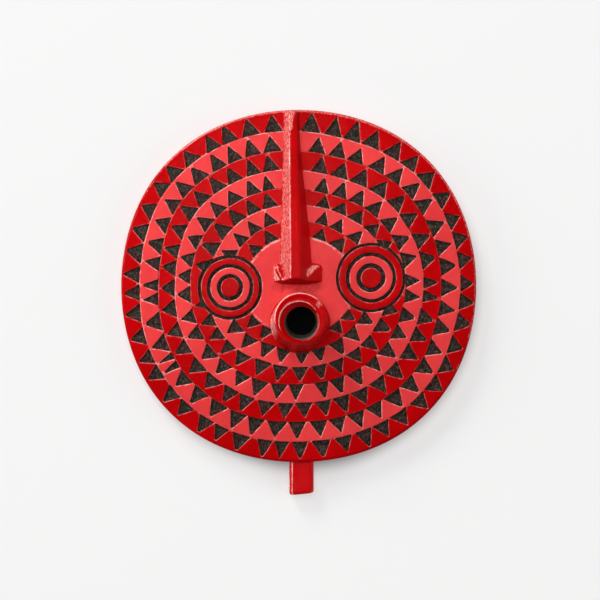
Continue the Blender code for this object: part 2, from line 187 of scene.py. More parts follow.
# Nostril wings, each a tent beside the ridge. Its points are (out from the wings' middle, up from
# the nose's foot, height): the two ends of its crest, one in the valley along the ridge and one at
# its edge
WING_X = -2.0
WING_SPAN = 48.0
WING_LENGTH = 22.0
WING_ROUNDING = 0.82
WING_CREST_NEAR = (10.5, 7.0, 10.0)
WING_CREST_FAR = (20.5, 16.5, 6.0)
WING_VALLEY = (6.5, 12.5, 6.8)
WING_EDGE = (24.5, 5.0, 0.6)
WING_SIDE_SLOPE = 2.2
WING_SOFTNESS = 1.6

# Mouth tube
MOUTH_FOOT = (0.0, -37.2)
MOUTH_FRONT = (0.2, -32.2)
MOUTH_BEVEL = (-0.8, -35.3)
MOUTH_BORE = (1.2, -36.9)
MOUTH_HEIGHT = 42.0
MOUTH_FOOT_RADIUS = 28.6
MOUTH_FRONT_RADIUS = 25.9
MOUTH_FRONT_ROUNDING = 2.8
MOUTH_DISH = 0.7
MOUTH_DISH_SHARES = ((0.2, 0.35), (0.45, 0.9), (0.68, 1.0), (0.8, 0.75), (0.92, 0.1))
MOUTH_BEVEL_RADIUS = 19.8
MOUTH_BEVEL_ROLL = ((0.5, 0.05), (0.05, 0.35))
MOUTH_BEVEL_DEPTH = 7.0
BORE_START = 0.9
MOUTH_BORE_RADIUS = 16.5
BACK_BORE_RADIUS = 17.1
MOUTH_BACK_RADIUS = 14.3
MOUTH_BACK_SHIFT = 2.0
BORE_DARK = 4.0
MOUTH_FILLET = 1.6
MOUTH_COLUMNS = 144

# Peg below the chin
PEG_X = 1.5
PEG_WIDTH = 25.0
PEG_LENGTH = 33.4
PEG_THICKNESS = 17.0
PEG_CHAMFER = 3.0
PEG_ROOT = 8.0
PEG_SLANT = 2.4
PEG_BOTTOM = 0.5
PEG_SINK = 0.25
PEG_POINTS = (16, 9, 4, 12, 4, 9)

# The marks of the tools and of the hand: how far they go, their wavelength and the seed of a noise
NOISE_CELLS = 64
NOISE_SHIFT = (31.7, 17.3)
DOME_MARKS = ((0.10, 9.0, 3), (0.05, 4.0, 4))
FLOOR_MARKS = (0.22, 2.4, 5)
NOSE_MARKS = ((0.25, 7.0, 8), (0.12, 3.0, 9))
DRAWN_ACROSS = ((0.34, 11.0, 21), (0.16, 4.5, 22))
DRAWN_ALONG = ((0.34, 11.0, 23), (0.16, 4.5, 24))
GOUGE_MARKS = ((0.55, 11.0, 31), (0.275, 6.0, 32))
RIM_MARKS = (0.18, 8.0, 41)
MOUTH_MARKS = (0.16, 7.0, 51)
BORE_MARKS = (0.25, 5.0, 52)
PEG_MARKS = (0.22, 6.0, 61)
# Patches that break up the painted highlights of the nose, mouth and rim, and the painted shade of
# the face
NOSE_PATCHES = (0.5, 5.0, 71)
MOUTH_PATCHES = (0.3, 5.0, 72)
SHADE_PATCHES = (3.0, 4.0, 73)
RIM_PATCHES = (0.3, 6.0, 74)

# Painted highlight, flecked like worn paint, on steep flanks that look towards the side light: the
# way they look, and where it begins and is full
HIGHLIGHT_DIRECTION = (-0.93, 0.36, 0.0)
HIGHLIGHT_RANGE = (0.42, 0.72)
# Painted light on the rim: the heights its highlight goes between, its bevel, the angle round which
# the bevel gets a painted highlight with flecks of wear, and the angle round which it gets painted
# shade
RIM_HIGHLIGHT_HEIGHTS = (14.5, 18.5)
RIM_BEVEL = 2.6
RIM_HIGHLIT = 24.0
RIM_SHADED = 140.0
# Painted highlights, pale as rubbed paint: how pale the edges are, and where: on the nose, then on
# the mouth by angles in degrees
CREST_HIGHLIGHT = 1.5
MOUTH_EDGE_HIGHLIGHT = 1.32
MOUTH_WALL_HIGHLIGHT = (188.0, 0.72, 0.94)
RIDGE_TOP_HIGHLIGHT = 38.0
MOUTH_HIGHLIGHT_SIDE = 118.0
WING_STREAK_WIDTH = 7.6
MOUTH_STREAK = 38.0
STREAK_REACH = 22.0
WING_HIGHLIGHT = 1.15
PEG_HIGHLIGHT = 1.4

# The left wing's inner edge, from its top to its foot, as (out from the wings' middle, up from the
# foot), and how pale the painted highlight makes the wing beyond it and along it
WING_FOLD = ((18.5, 10.5), (13.8, 1.5))
FOLD_HIGHLIGHT = (1.2, 1.3)

# Painted shade on the face between the nose's foot and the mouth: how far below the foot it reaches,
# how strong it is, and how dark the nose's underside is painted
PAINTED_SHADE_DEPTH = 11.0
PAINTED_SHADE_STRENGTH = 0.62
PAINTED_SHADE_UNDER_NOSE = 1.4

# Lips and scored lines are painted pale: a little worn paint everywhere, and a painted highlight
# where they look this way, towards the light, and how far
LIP_HIGHLIGHT_WAY = (-0.6, 0.8, 0.0)
LIP_HIGHLIGHT_RANGE = (-0.25, 0.30)
LIP_WEAR_AND_HIGHLIGHT = (0.7, 0.1)
SCORE_PALE_LIP = 0.9

# Colours of each paint: its deep and its bright shade, and its pale colour for worn paint and
# painted highlights
RED_SHADES = ((0.46, 0.001, 0.002, 1), (0.60, 0.001, 0.003, 1), (0.85, 0.22, 0.20, 1))
CORAL_SHADES = ((0.80, 0.044, 0.048, 1), (0.93, 0.062, 0.064, 1), (0.98, 0.50, 0.46, 1))
HEWN_SHADES = (*RED_SHADES[:2], (0.84, 0.22, 0.20, 1))
# The near-white of painted highlights on edges, and the dark red of painted shade
EDGE_HIGHLIGHT_COLOUR = (0.97, 0.64, 0.60, 1)
SHADE_COLOUR = (0.26, 0.001, 0.004, 1)
CHARCOAL = ((0.024, 0.033, 0.019, 1), (0.058, 0.021, 0.025, 1))
CHARCOAL_WORN = (0.124, 0.088, 0.074, 1)
BLACK = (0.005, 0.005, 0.004, 1)
BORE_GREY = (0.26, 0.23, 0.18, 1)
WOOD_SHADES = ((0.20, 0.105, 0.050, 1), (0.47, 0.30, 0.165, 1))
WOOD_DARK = (0.16, 0.09, 0.05, 1)

# Noises of the materials: scale, or one for each axis, then detail, roughness and distortion
BROAD = (22.0, 5.0, 0.55)
BRUSHED = ((210.0, 90.0, 210.0), 4.0, 0.6)
GRIT = (850.0, 3.0, 0.6)
PATCHY = (140.0, 4.0, 0.7)
CHIPS = ((1150.0, 330.0, 1150.0), 3.0, 0.65)
MOTTLE = (420.0, 4.0, 0.65)
TINT = (260.0, 3.0, 0.6)
SOOT = ((1000.0, 260.0, 1000.0), 4.0, 0.65)
WOOD_GRAIN = ((420.0, 26.0, 420.0), 6.0, 0.62, 0.4)
WOOD_FIBRES = ((1900.0, 70.0, 1900.0), 3.0, 0.6)
WOOD_STAIN = (16.0, 4.0, 0.6)

# Gloss: the paint's roughness, what a cut adds to it, and the shine from coat to cut and on flanks
GLOSS = (0.12, 0.22)
DULL_IN_CUT = 0.4
SHINE = (-0.12, 0.22)
DULL_FLANK = 0.1

# Relief of the paints and the wood: how strong each bump is, and its depth in metres
BRUSH_RELIEF = (0.11, 0.0006)
GRIT_RELIEF = (0.10, 0.00018)
CHIP_RELIEF = 0.7
CHIP_DEPTH = (0.0006, 0.0002)
FURROWS = (0.47, 0.03)
FURROW_DEPTH = 0.0004
WOOD_RELIEF = (0.4, 0.0008)
FIBRE_RELIEF = (0.4, 0.0004)
BORE_RELIEF = (0.5, 0.0005)

# Lights: the way each comes from, its distance, size and watts, and whether it shows as a glint
LIGHTS = {
    "key": ((-0.42, 0.72, 0.48), 6.0, 2.2, 172.0, True),
    "side": ((-0.93, 0.26, 0.32), 5.0, 3.0, 98.0, True),
    "fill": ((-0.1, 0.15, 1.0), 4.2, 3.0, 82.0, False),
    "low_fill": ((0.92, -0.1, 0.5), 5.0, 4.0, 70.0, False),
}
# The sky: its colour, the brightness near the horizon and overhead, and how it falls off across
# and along the mask
SKY = (1.0, 0.985, 0.97, 1)
WORLD_STRENGTH = 0.7
ZENITH_STRENGTH = 0.02
SKY_ACROSS = (-0.45, 0.55)
SKY_ALONG = (0.35, 0.0)

# Floor, which glows, and how far its painted shadow reaches beneath the mask and beyond the chin, in
# metres
FLOOR_HALF = 6.0
FLOOR_GLOW = 0.53
FLOOR_ALBEDO = 0.407
FLOOR_DARK = 0.01
SHADE_UNDER_MASK = (0.148, 0.185)
SHADE_SHIFT = (2.0, -10.0)
SHADE_AT_CHIN = (0.060, 0.106)
CHIN_SHIFT = (8.0, -100.0)
CHIN_SHADE = 0.35

CAMERA_HEIGHT = 3.522
CAMERA_SHIFT = 14.0
LENS = 210.0
SENSOR = 36.0

SHARP_ANGLE = math.radians(52.0)
NORMAL_WEIGHT = 50
RING_RADII = np.concatenate(([DISC_RADIUS], DISC_RADIUS - np.cumsum(ROW_WIDTHS)))
LAST_LINE = len(RING_RADII) - 1
RED, CORAL, HEWN, BARE, BORE = range(5)


def line_radius(line, angle):
    """Radius of a hand-drawn line at an angle."""
    radius = (
        RING_RADII[line]
        - LINE_SIDESTEPS[line] * np.sin(angle)
        - LINE_OVALS[line] * np.cos(2 * angle)
        - LINE_CORNERS[line] * np.cos(4 * angle)
    )
    for middle, reach, amount, first, last in LINE_DENTS:
        off = (np.degrees(angle) - middle + 180) % 360 - 180
        share = np.clip(np.abs(off) / reach, 0, 1)
        on_line = (line >= first) & (line <= last)
        radius = radius + on_line * amount * np.cos(share * math.pi / 2) ** 2
    return radius


def radius_at(row, angle):
    """Radius of a row coordinate at an angle."""
    line = np.clip(np.floor(row), 0, LAST_LINE - 1).astype(int)
    outer, inner = line_radius(line, angle), line_radius(line + 1, angle)
    bare = (LAST_LINE + 1 - row) * line_radius(LAST_LINE, angle)
    return np.where(row >= LAST_LINE, bare, outer + (inner - outer) * (row - line))


def row_at(x, y):
    """Row coordinate of a place."""
    angle, radius = np.arctan2(x, y), np.hypot(x, y)
    row = LAST_LINE + 1 - radius / line_radius(LAST_LINE, angle)
    for line in reversed(range(LAST_LINE)):
        outer, inner = line_radius(line, angle), line_radius(line + 1, angle)
        row = np.where(radius >= inner, line + (outer - radius) / (outer - inner), row)
    return row


def dome_z(mean_radius):
    return RIM_THICKNESS + CROWN_RISE * (1 - (mean_radius / DISC_RADIUS) ** 2)


def surface_z(x, y):
    """Height of the uncut dome, with the rounding of its rim."""
    row = row_at(x, y)
    radii = np.append(RING_RADII, 0.0)
    mean = np.interp(row, np.arange(len(radii)), radii)
    to_rim = np.clip(row * ROW_WIDTHS[0], 0, RIM_ROUNDING)
    drop = RIM_ROUNDING - np.sqrt(RIM_ROUNDING ** 2 - (RIM_ROUNDING - to_rim) ** 2)
    return dome_z(mean) - drop


def away(x, y, centre):
    """Distance in the plan from a centre."""
    return np.hypot(x - centre[0], y - centre[1])


def from_rim(x, y):
    """Distance in from the rim, as the first row has it."""
    return row_at(x, y) * ROW_WIDTHS[0]


def polar(radius, angle):
    """Places at a radius and an angle."""
    return np.stack((radius * np.sin(angle), radius * np.cos(angle)), axis=1)


def mixed(a, b, share):
    return a + (b - a) * share


def smooth_step(value, low, high):
    share = np.clip((value - low) / (high - low), 0, 1)
    return share * share * (3 - 2 * share)


def smooth_min(a, b, rounding):
    mix = np.clip(0.5 + 0.5 * (b - a) / rounding, 0, 1)
    return b + (a - b) * mix - rounding * mix * (1 - mix)


def smooth_max(a, b, rounding):
    return -smooth_min(-a, -b, rounding)


def waver(x, y, *layers):
    """Smooth noise over the plan, as the sum of its layers: amount, wavelength and seed of each."""
    total = 0.0
    for amount, wavelength, seed in layers:
        table = np.random.default_rng(seed).uniform(-1, 1, (NOISE_CELLS, NOISE_CELLS))
        u, v = x / wavelength + NOISE_SHIFT[0], y / wavelength + NOISE_SHIFT[1]
        i, j = np.floor(u).astype(int), np.floor(v).astype(int)
        s, t = smooth_step(u - i, 0, 1), smooth_step(v - j, 0, 1)
        left, right = i % NOISE_CELLS, (i + 1) % NOISE_CELLS
        near, far = (
            mixed(table[left, row % NOISE_CELLS], table[right, row % NOISE_CELLS], s)
            for row in (j, j + 1)
        )
        total = total + amount * mixed(near, far, t)
    return total


def carved_bases(row, arcs, carver):
    """The apex angle and half base, in degrees, of each triangle of a row, none touching the
    next."""
    bases = []
    for arc, (first, last, count) in enumerate(arcs):
        spacing = (last - first) / (count - 1) if count > 1 else LONE_SPACING
        for i in range(count):
            apex = first + i * spacing + carver.uniform(-APEX_STRAY, APEX_STRAY)
            half = 0.5 * spacing * BASE_SHARE * (1 + carver.uniform(-BASE_STRAY, BASE_STRAY))
            if (row, arc, i) == SPLIT_CUT:
                bases += [(apex + side * half, SPLIT_HALF * half) for side in SPLIT_SIDES]
            else:
                bases.append((apex, half))
    bases.sort()
    land = math.degrees(BASE_LAND / RING_RADII[row + 1])
    for i in range(len(bases) - 1):
        (apex, half), (next_apex, next_half) = bases[i], bases[i + 1]
        fit = min(1.0, (next_apex - apex - land) / (half + next_half))
        bases[i] = (apex, half * fit)
        bases[i + 1] = (next_apex, next_half * fit)
    return bases


class Cut:
    """One carved triangle. Its outline lies in (across, inward): millimetres along the row and in
    from the row's outer line."""

    def __init__(self, row, apex, half, margin, hand):
        self.row, self.angle = row, math.radians(apex)
        self.width = ROW_WIDTHS[row]
        base = self.width - BASE_GAP
        radius = float(radius_at(np.array(row + base / self.width), self.angle))
        reach = math.radians(half) * radius
        blunt = min(hand.uniform(*BLUNT_APEX), MOST_BLUNT * reach)
        self.rounding = min(hand.uniform(*CORNER_ROUNDING), MOST_ROUNDED * reach)
        lean = hand.uniform(-APEX_LEAN, APEX_LEAN)
        self.corners = np.array(
            ((-blunt + lean, margin), (-reach, base), (reach, base), (blunt + lean, margin))
        )
        self.margin, self.base = margin, base
        self.depth = CUT_DEPTH * hand.uniform(*DEPTH_STRAY)
        sides = np.roll(self.corners, -1, axis=0) - self.corners
        sides /= np.linalg.norm(sides, axis=1)[:, None]
        self.normals = np.stack((sides[:, 1], -sides[:, 0]), axis=1)
        if np.mean(np.sum(self.normals * (self.corners.mean(0) - self.corners), axis=1)) < 0:
            self.normals = -self.normals
        self.offsets = np.sum(self.normals * self.corners, axis=1)

    def inset(self, distance):
        """The outline's corners, moved in by a distance."""
        count = len(self.corners)
        moved = []
        for i in range(count):
            a, b = self.normals[i - 1], self.normals[i]
            rhs = np.array((self.offsets[i - 1] + distance, self.offsets[i] + distance))
            moved.append(np.linalg.solve(np.array((a, b)), rhs))
        return np.array(moved)

    def contour(self, distance):
        """Places in the plan along the outline, moved in by a distance."""
        core = self.inset(max(distance, self.rounding))
        swell = max(0.0, self.rounding - distance)
        line = []
        count = len(core)
        for i in range(count):
            before, after = -self.normals[i - 1], -self.normals[i]
            turn = 1 if swell < 0.05 else 4
            for k in range(turn):
                way = mixed(before, after, 0.5 if turn == 1 else k / (turn - 1))
                line.append(core[i] + swell * way / np.linalg.norm(way))
            start, end = core[i] + swell * after, core[(i + 1) % count] + swell * after
            steps = max(1, round(np.linalg.norm(end - start) / LIP_SPACING))
            line += [start + (end - start) * k / steps for k in range(1, steps)]
        return self.to_plan(np.array(line))

    def to_plan(self, points):
        across, inward = points[:, 0], points[:, 1]
        row = self.row + inward / self.width
        angle = np.full(len(points), self.angle)
        for _ in range(3):
            angle = self.angle + across / radius_at(row, angle)
        radius = radius_at(row, angle)
        return polar(radius, angle)

    def distance(self, across, inward):
        """How far inside the lip a place is; negative outside."""
        points = np.stack((across, inward), axis=1)
        sides = points @ self.normals.T - self.offsets
        inside = sides.min(axis=1)
        core = self.inset(self.rounding)
        gap = np.full(len(points), 1e9)
        for i in range(len(core)):
            a, b = core[i], core[(i + 1) % len(core)]
            share = np.clip((points - a) @ (b - a) / max((b - a) @ (b - a), 1e-9), 0, 1)
            gap = np.minimum(gap, np.linalg.norm(points - a - share[:, None] * (b - a), axis=1))
        return np.where(inside >= self.rounding, inside, self.rounding - gap)


def make_cuts():
    carver, hand = random.Random(CARVER_SEED), random.Random(CARVER_SEED + 1)
    cuts = []
    for row, arcs in enumerate(ROW_ARCS):
        for apex, half in carved_bases(row, arcs, carver):
            margin = APEX_MARGIN + carver.uniform(-MARGIN_STRAY, MARGIN_STRAY)
            cuts.append(Cut(row, apex, half, margin, hand))
    return cuts


def drop_at(distance, depth):
    """Depth at a distance in from a cut's outline: a rolled lip, then a steep wall."""
    roll = ROLL_DROP * np.clip((distance - LIP) / (ROLL_END - LIP), 0, 1) ** ROLL_CURVE
    wall = (depth - ROLL_DROP) * np.clip((distance - ROLL_END) / (WALL_FOOT - ROLL_END), 0, 1)
    return roll + wall


def eye_at(x, y):
    """For each place: whether it lies in an eye, and the depth and lip of the grooves there."""
    in_eye = np.zeros(len(x), bool)
    depth, lip = np.zeros(len(x)), np.full(len(x), FAR)
    for centre, radii in EYES:
        radius = away(x, y, centre)
        in_eye |= radius <= radii[-1] - LIP
        for inner, outer in zip(radii[::2], radii[1::2]):
            into = np.minimum(radius - inner, outer - radius)
            lip = np.where(into > -2, np.maximum(lip, into), lip)
            groove = into > LIP
            depth[groove] = drop_at(into[groove], EYE_GROOVE_DEPTH)
    return in_eye, depth, lip


def clear_of_eyes(x, y):
    clear = np.ones(len(x), bool)
    for centre, radii in EYES:
        clear &= away(x, y, centre) > (radii[-1] + radii[-2]) / 2
    return clear


def from_score(row):
    """How far out from the middle of the nearest scored line a row coordinate is."""
    line = np.clip(np.round(row), 1, LAST_LINE).astype(int)
    return (line - row) * ROW_WIDTHS[line - 1] - SCORE_MIDDLE


def carving(x, y, cuts):
    """Depth of the carving below the dome, and how far inside the nearest lip each place is."""
    angle, radius, row = np.arctan2(x, y), np.hypot(x, y), row_at(x, y)
    depth, lip = np.zeros(len(x)), np.full(len(x), FAR)
    for cut in cuts:
        turn = (angle - cut.angle + math.pi) % (2 * math.pi) - math.pi
        across, inward = turn * radius, (row - cut.row) * cut.width
        reach = cut.corners[2, 0] + 2
        near = (np.abs(across) < reach) & (inward > cut.margin - 2) & (inward < cut.base + 2)
        if not near.any():
            continue
        distance = cut.distance(across[near], inward[near])
        share = np.clip((inward[near] - cut.margin) / (cut.base - cut.margin), 0, 1)
        full = cut.depth * (SHALLOW_APEX + (1 - SHALLOW_APEX) * share ** APEX_CURVE)
        depth[near] = np.maximum(depth[near], drop_at(distance, full))
        lip[near] = np.maximum(lip[near], distance)
    outward = from_score(row)
    side = np.where(outward > 0, SCORE_OUTER, SCORE_INNER)
    in_eye, groove, groove_lip = eye_at(x, y)
    score = np.where(in_eye, 0, ROLL_DROP * np.clip(1 - np.abs(outward) / side, 0, 1))
    clear = clear_of_eyes(x, y)
    depth = np.maximum(np.where(clear, depth, 0), score)
    return np.maximum(depth, groove), np.maximum(np.where(clear, lip, FAR), groove_lip)


def nose_line(y):
    """The ridge at places along it: left foot, both sides of its crest, right foot and height."""
    top_y = float(line_radius(0, 0.0))
    share = np.clip((top_y - y) / (top_y - NOSE_FOOT_Y), 0, 1)
    eased = smooth_step(share, 0, 1)
    x = mixed(NOSE_TOP_X, NOSE_TIP_X, eased)
    width = mixed(NOSE_TOP_WIDTH, NOSE_TIP_WIDTH, eased)
    crest = mixed(NOSE_TOP_CREST, NOSE_TIP_CREST, share)
    middle = x + NOSE_CREST_SHIFT * (1 - eased)
    height = mixed(NOSE_TOP_HEIGHT, NOSE_TIP_HEIGHT, share)
    return x - width / 2, middle - crest / 2, middle + crest / 2, x + width / 2, height


def plane_height(a, b, c, x, y):
    """The height, at any place, of the plane through three points."""
    places = np.array([(p[0], p[1], 1.0) for p in (a, b, c)])
    slopes = np.linalg.solve(places, [a[2], b[2], c[2]])
    return slopes[0] * x + slopes[1] * y + slopes[2]


def wing_slopes(aside, ahead):
    """The heights of a wing's inner and outer slopes."""
    crest = (WING_CREST_NEAR, WING_CREST_FAR)
    return [plane_height(*crest, low, aside, ahead) for low in (WING_VALLEY, WING_EDGE)]


def nose_height(x, y):
    """Height of the ridge and its wings above the dome; below 0 beside them."""
    left, crest_left, crest_right, right, height = nose_line(y)
    flank_left = height * (x - left) / (crest_left - left)
    flank_right = height * (right - x) / (right - crest_right)
    ridge = smooth_min(flank_left, flank_right, 2 * NOSE_ROUNDING)
    ridge = smooth_min(ridge, height, 2 * NOSE_ROUNDING)
    share = (x - WING_X) / (WING_SPAN / 2)
    rounded = np.sqrt(np.clip(1 - (WING_ROUNDING * share) ** 2, 0.05, 1))
    foot = NOSE_FOOT_Y + NOSE_UNDERCUT_START + WING_LENGTH * (1 - rounded) / 4
    share = (y - foot) / NOSE_UNDERCUT
    under = NOSE_TIP_HEIGHT * np.where(share > 0, np.abs(share) ** NOSE_UNDERCUT_CURVE, share)
    ridge = smooth_min(ridge, under, NOSE_ROUNDING)
    wings = np.full(len(x), FAR)
    for side in (-1, 1):
        aside, ahead = side * (x - WING_X), y - NOSE_FOOT_Y
        wing = smooth_min(*wing_slopes(aside, ahead), WING_SOFTNESS)
        top = WING_LENGTH * np.sqrt(np.clip(1 - (aside / WING_SPAN) ** 2, 0, 1)) - ahead
        end = np.minimum(WING_SPAN / 2 + 0.4 - aside, aside)
        wing = smooth_min(wing, WING_SIDE_SLOPE * smooth_min(top, end, 4.0), WING_SOFTNESS)
        wings = np.maximum(wings, smooth_min(wing, under, NOSE_ROUNDING))
    return smooth_max(ridge, wings, 1.2)


def highlit_ridge(x, y, broken):
    """Where the ridge gets a painted highlight: the left edge of its crest and its top end."""
    _, crest_left, crest_right, _, _ = nose_line(y)
    edge = CREST_HIGHLIGHT * smooth_step(0.75 - np.abs(x - crest_left), 0, 0.4)
    to_rim = float(line_radius(0, 0.0)) - y
    reach = (crest_right - crest_left) * (1.05 - to_rim / RIDGE_TOP_HIGHLIGHT + 0.3 * broken)
    top_end = (x > crest_left) * smooth_step(crest_left + reach - x, 0, 1.2)
    return np.maximum(edge * (0.85 + 0.3 * broken), top_end)


def highlit_wing(aside, ahead, broken):
    """Where the right wing gets a painted highlight: a streak beyond its crest."""
    inner, outer = wing_slopes(aside, ahead)
    beyond = outer - inner
    streak = smooth_step(beyond, -0.6, 0.6) * smooth_step(WING_STREAK_WIDTH + broken - beyond, 0, 1.5)
    on_wing = (aside > WING_VALLEY[0] + 2) & (ahead < WING_LENGTH - 3)
    return WING_HIGHLIGHT * on_wing * smooth_step(ahead, 5, 8) * streak


def highlit_fold(aside, ahead):
    """Where the left wing gets a painted highlight: along its inner edge and beyond it."""
    (fold_x, fold_y), (foot_x, foot_y) = WING_FOLD
    share = np.clip((fold_y - ahead) / (fold_y - foot_y), -0.4, 1)
    beyond = aside - mixed(fold_x, foot_x, share)
    face, edge = FOLD_HIGHLIGHT
    fold = face * smooth_step(beyond, 1.8, 3.2) + edge * smooth_step(1.2 - np.abs(beyond), 0, 0.7)
    return fold * smooth_step(WING_LENGTH - 3 - ahead, 0, 2)


def highlit_nose(x, y):
    """How strong the painted highlight is at each place of the nose."""
    broken = waver(x, y, NOSE_PATCHES)
    aside, ahead = x - WING_X, y - NOSE_FOOT_Y
    wings = np.maximum(highlit_wing(aside, ahead, broken), highlit_fold(-aside, ahead))
    return (nose_height(x, y) > 0.4) * np.maximum(highlit_ridge(x, y, broken), wings)


def on_bevel(x, y):
    """1 on the rim's bevel, 0 away from it."""
    return smooth_step(RIM_BEVEL - from_rim(x, y), 0, 0.8)


def facing(x, y, turn):
    """1 where a place lies towards an angle in degrees from the crown, -1 opposite."""
    return np.cos(np.arctan2(x, y) - math.radians(turn))


def painted_shade_at(x, y):
    """How dark the painted shade is: between the nose's foot and the mouth, and on the rim's lower
    right.
    """
    below = NOSE_FOOT_Y - y
    beside = WING_SPAN / 2 + 6 - np.abs(x - WING_X)
    broken = waver(x, y, SHADE_PATCHES)
    face = smooth_step(beside + broken, 0, 14) * smooth_step(PAINTED_SHADE_DEPTH + broken - below, 0, 8)
    # The rim's bevel gets painted shade round its lower right
    rim = on_bevel(x, y) * (from_rim(x, y) > -0.5)
    return np.maximum(face * (below > -1), rim * smooth_step(facing(x, y, RIM_SHADED), 0.1, 0.6))


def highlit_rim(x, y):
    """Where the rim's bevel is painted pale round its upper half: a painted highlight with flecks of
    worn paint.
    """
    upper = facing(x, y, RIM_HIGHLIT) + waver(x, y, RIM_PATCHES)
    return on_bevel(x, y) * smooth_step(upper, -0.2, 0.3)


def front_z(x, y, cuts):
    """Height of the carved front, the carved depth and the distance inside a lip."""
    depth, lip = carving(x, y, cuts)
    gouged = np.clip(depth / CUT_DEPTH, 0, 1) * waver(x, y, FLOOR_MARKS)
    nose = nose_height(x, y) + waver(x, y, *NOSE_MARKS)
    fade = np.clip((from_rim(x, y) - FRONT_EDGE) / 3, 0, 1)
    dome = (waver(x, y, *DOME_MARKS) + gouged) * fade - depth
    on_nose = nose > 0
    z = surface_z(x, y) + np.where(on_nose, nose, dome)
    return z, np.where(on_nose, 0, depth), np.where(on_nose, FAR, lip)


class Plan:
    """Points and constraint lines for the triangulation of a surface."""

    def __init__(self):
        self.points, self.edges = [], []

    def line(self, points, keep=None, closed=True):
        keep = np.ones(len(points), bool) if keep is None else keep
        index = {}
        for i, point in enumerate(points):
            if keep[i]:
                index[i] = len(self.points)
                self.points.append((float(point[0]), float(point[1])))
        count = len(points)
        for i in range(count if closed else count - 1):
            j = (i + 1) % count
            if i in index and j in index:
                self.edges.append((index[i], index[j]))
        return [index.get(i) for i in range(count)]

    def free(self, points, clearance):
        """Adds the points that stand clear of all that are there already."""
        tree = KDTree(len(self.points))
        for i, point in enumerate(self.points):
            tree.insert((point[0], point[1], 0), i)
        tree.balance()
        for x, y in points:
            if tree.find((x, y, 0))[2] >= clearance:
                self.points.append((float(x), float(y)))

    def triangulated(self):
        """Vertices and triangles, and where each point given went."""
        made = delaunay_2d_cdt([Vector(p) for p in self.points], self.edges, [], 0, 1e-5, True)
        verts, _, faces, origins = made[:4]
        where = {}
        for new, olds in enumerate(origins):
            for old in olds:
                where[old] = new
        points = np.array([(v[0], v[1]) for v in verts])
        return points, np.array([f for f in faces if len(f) == 3]), where


def rim_ring(inward):
    """Places round the rim, a distance in from its line."""
    angle = round_angles(RIM_POINTS)
    return polar(radius_at(np.full(RIM_POINTS, inward / ROW_WIDTHS[0]), angle), angle)


def round_angles(count):
    return np.arange(count) * 2 * math.pi / count


def ring_points(centre, radius, count):
    angle = round_angles(count)
    x, y = centre[0] + radius * np.cos(angle), centre[1] + radius * np.sin(angle)
    return np.stack((x, y), axis=1)


def lattice(spacing, radius, seed):
    """A slightly uneven triangular lattice over a disc."""
    rows = np.arange(-radius, radius, spacing * math.sqrt(0.75))
    places = []
    for i, y in enumerate(rows):
        x = np.arange(-radius, radius, spacing) + (i % 2) * spacing / 2
        places.append(np.stack((x, np.full(len(x), y)), axis=1))
    points = np.concatenate(places)
    points += np.random.default_rng(seed).uniform(-0.12, 0.12, points.shape) * spacing
    return points


def clear_of_mouth(points, margin):
    return away(*points.T, MOUTH_FOOT) > MOUTH_FOOT_RADIUS + MOUTH_FILLET + margin


def front_plan(cuts):
    plan = Plan()
    rim = plan.line(rim_ring(FRONT_EDGE))
    mouth = plan.line(ring_points(MOUTH_FOOT, MOUTH_FOOT_RADIUS + MOUTH_FILLET, MOUTH_COLUMNS))
    for cut in cuts:
        for distance in (LIP, ROLL_END, WALL_FOOT):
            contour = cut.contour(distance)
            plan.line(contour, clear_of_mouth(contour, MOUTH_MARGIN) & clear_of_eyes(*contour.T))
    for centre, radii in EYES:
        for edge, radius in enumerate(radii):
            into = 1 if edge % 2 == 0 else -1
            for distance in (LIP, ROLL_END, WALL_FOOT):
                count = max(EYE_POINTS, round(radius * EYE_DENSITY))
                plan.line(ring_points(centre, radius + into * distance, count))
    for line in range(1, LAST_LINE + 1):
        angle = round_angles(round(RING_RADII[line] * 2 * math.pi / SCORE_SPACING))
        for offset in (-SCORE_INNER, 0.0, SCORE_OUTER):
            inward = (SCORE_MIDDLE + offset) / ROW_WIDTHS[line - 1]
            ring = polar(radius_at(np.full(len(angle), line - inward), angle), angle)
            clear = (carving(*ring.T, cuts)[1] < LIP + 0.05) & ~eye_at(*ring.T)[0]
            nose = nose_height(*ring.T) > -1
            plan.line(ring, clear & ~nose & clear_of_mouth(ring, MOUTH_MARGIN))
    top_y = float(line_radius(0, 0.0)) - FRONT_EDGE
    y = np.arange(NOSE_FOOT_Y + 0.5, top_y - 0.8, NOSE_SPACING)
    for x in nose_line(y)[:4]:
        plan.line(np.stack((x, y), axis=1), closed=False)
    add_free_points(plan, cuts)
    return plan, rim, mouth


def add_free_points(plan, cuts):
    """Points round the cuts, fine ones over the nose and coarse ones between them."""
    for inward in RIM_ROWS:
        plan.free(rim_ring(inward), RIM_GAP)
    outside = np.concatenate([cut.contour(LAND_CONTOUR) for cut in cuts])
    outside = outside[clear_of_mouth(outside, 0.5) & clear_of_eyes(*outside.T)]
    plan.free(outside[carving(*outside.T, cuts)[1] < LAND_CONTOUR + 0.1], LIP_GAP)
    fine = lattice(FINE_LATTICE, DISC_RADIUS, 1)
    inside = (nose_height(*fine.T) > -2) & (from_rim(*fine.T) > 2.0)
    plan.free(fine[inside & clear_of_mouth(fine, 0.8)], NOSE_GAP)
    coarse = lattice(LATTICE, DISC_RADIUS, 2)
    inside = from_rim(*coarse.T) > 3.2
    plan.free(coarse[inside & clear_of_mouth(coarse, 1.0)], LAND_GAP)


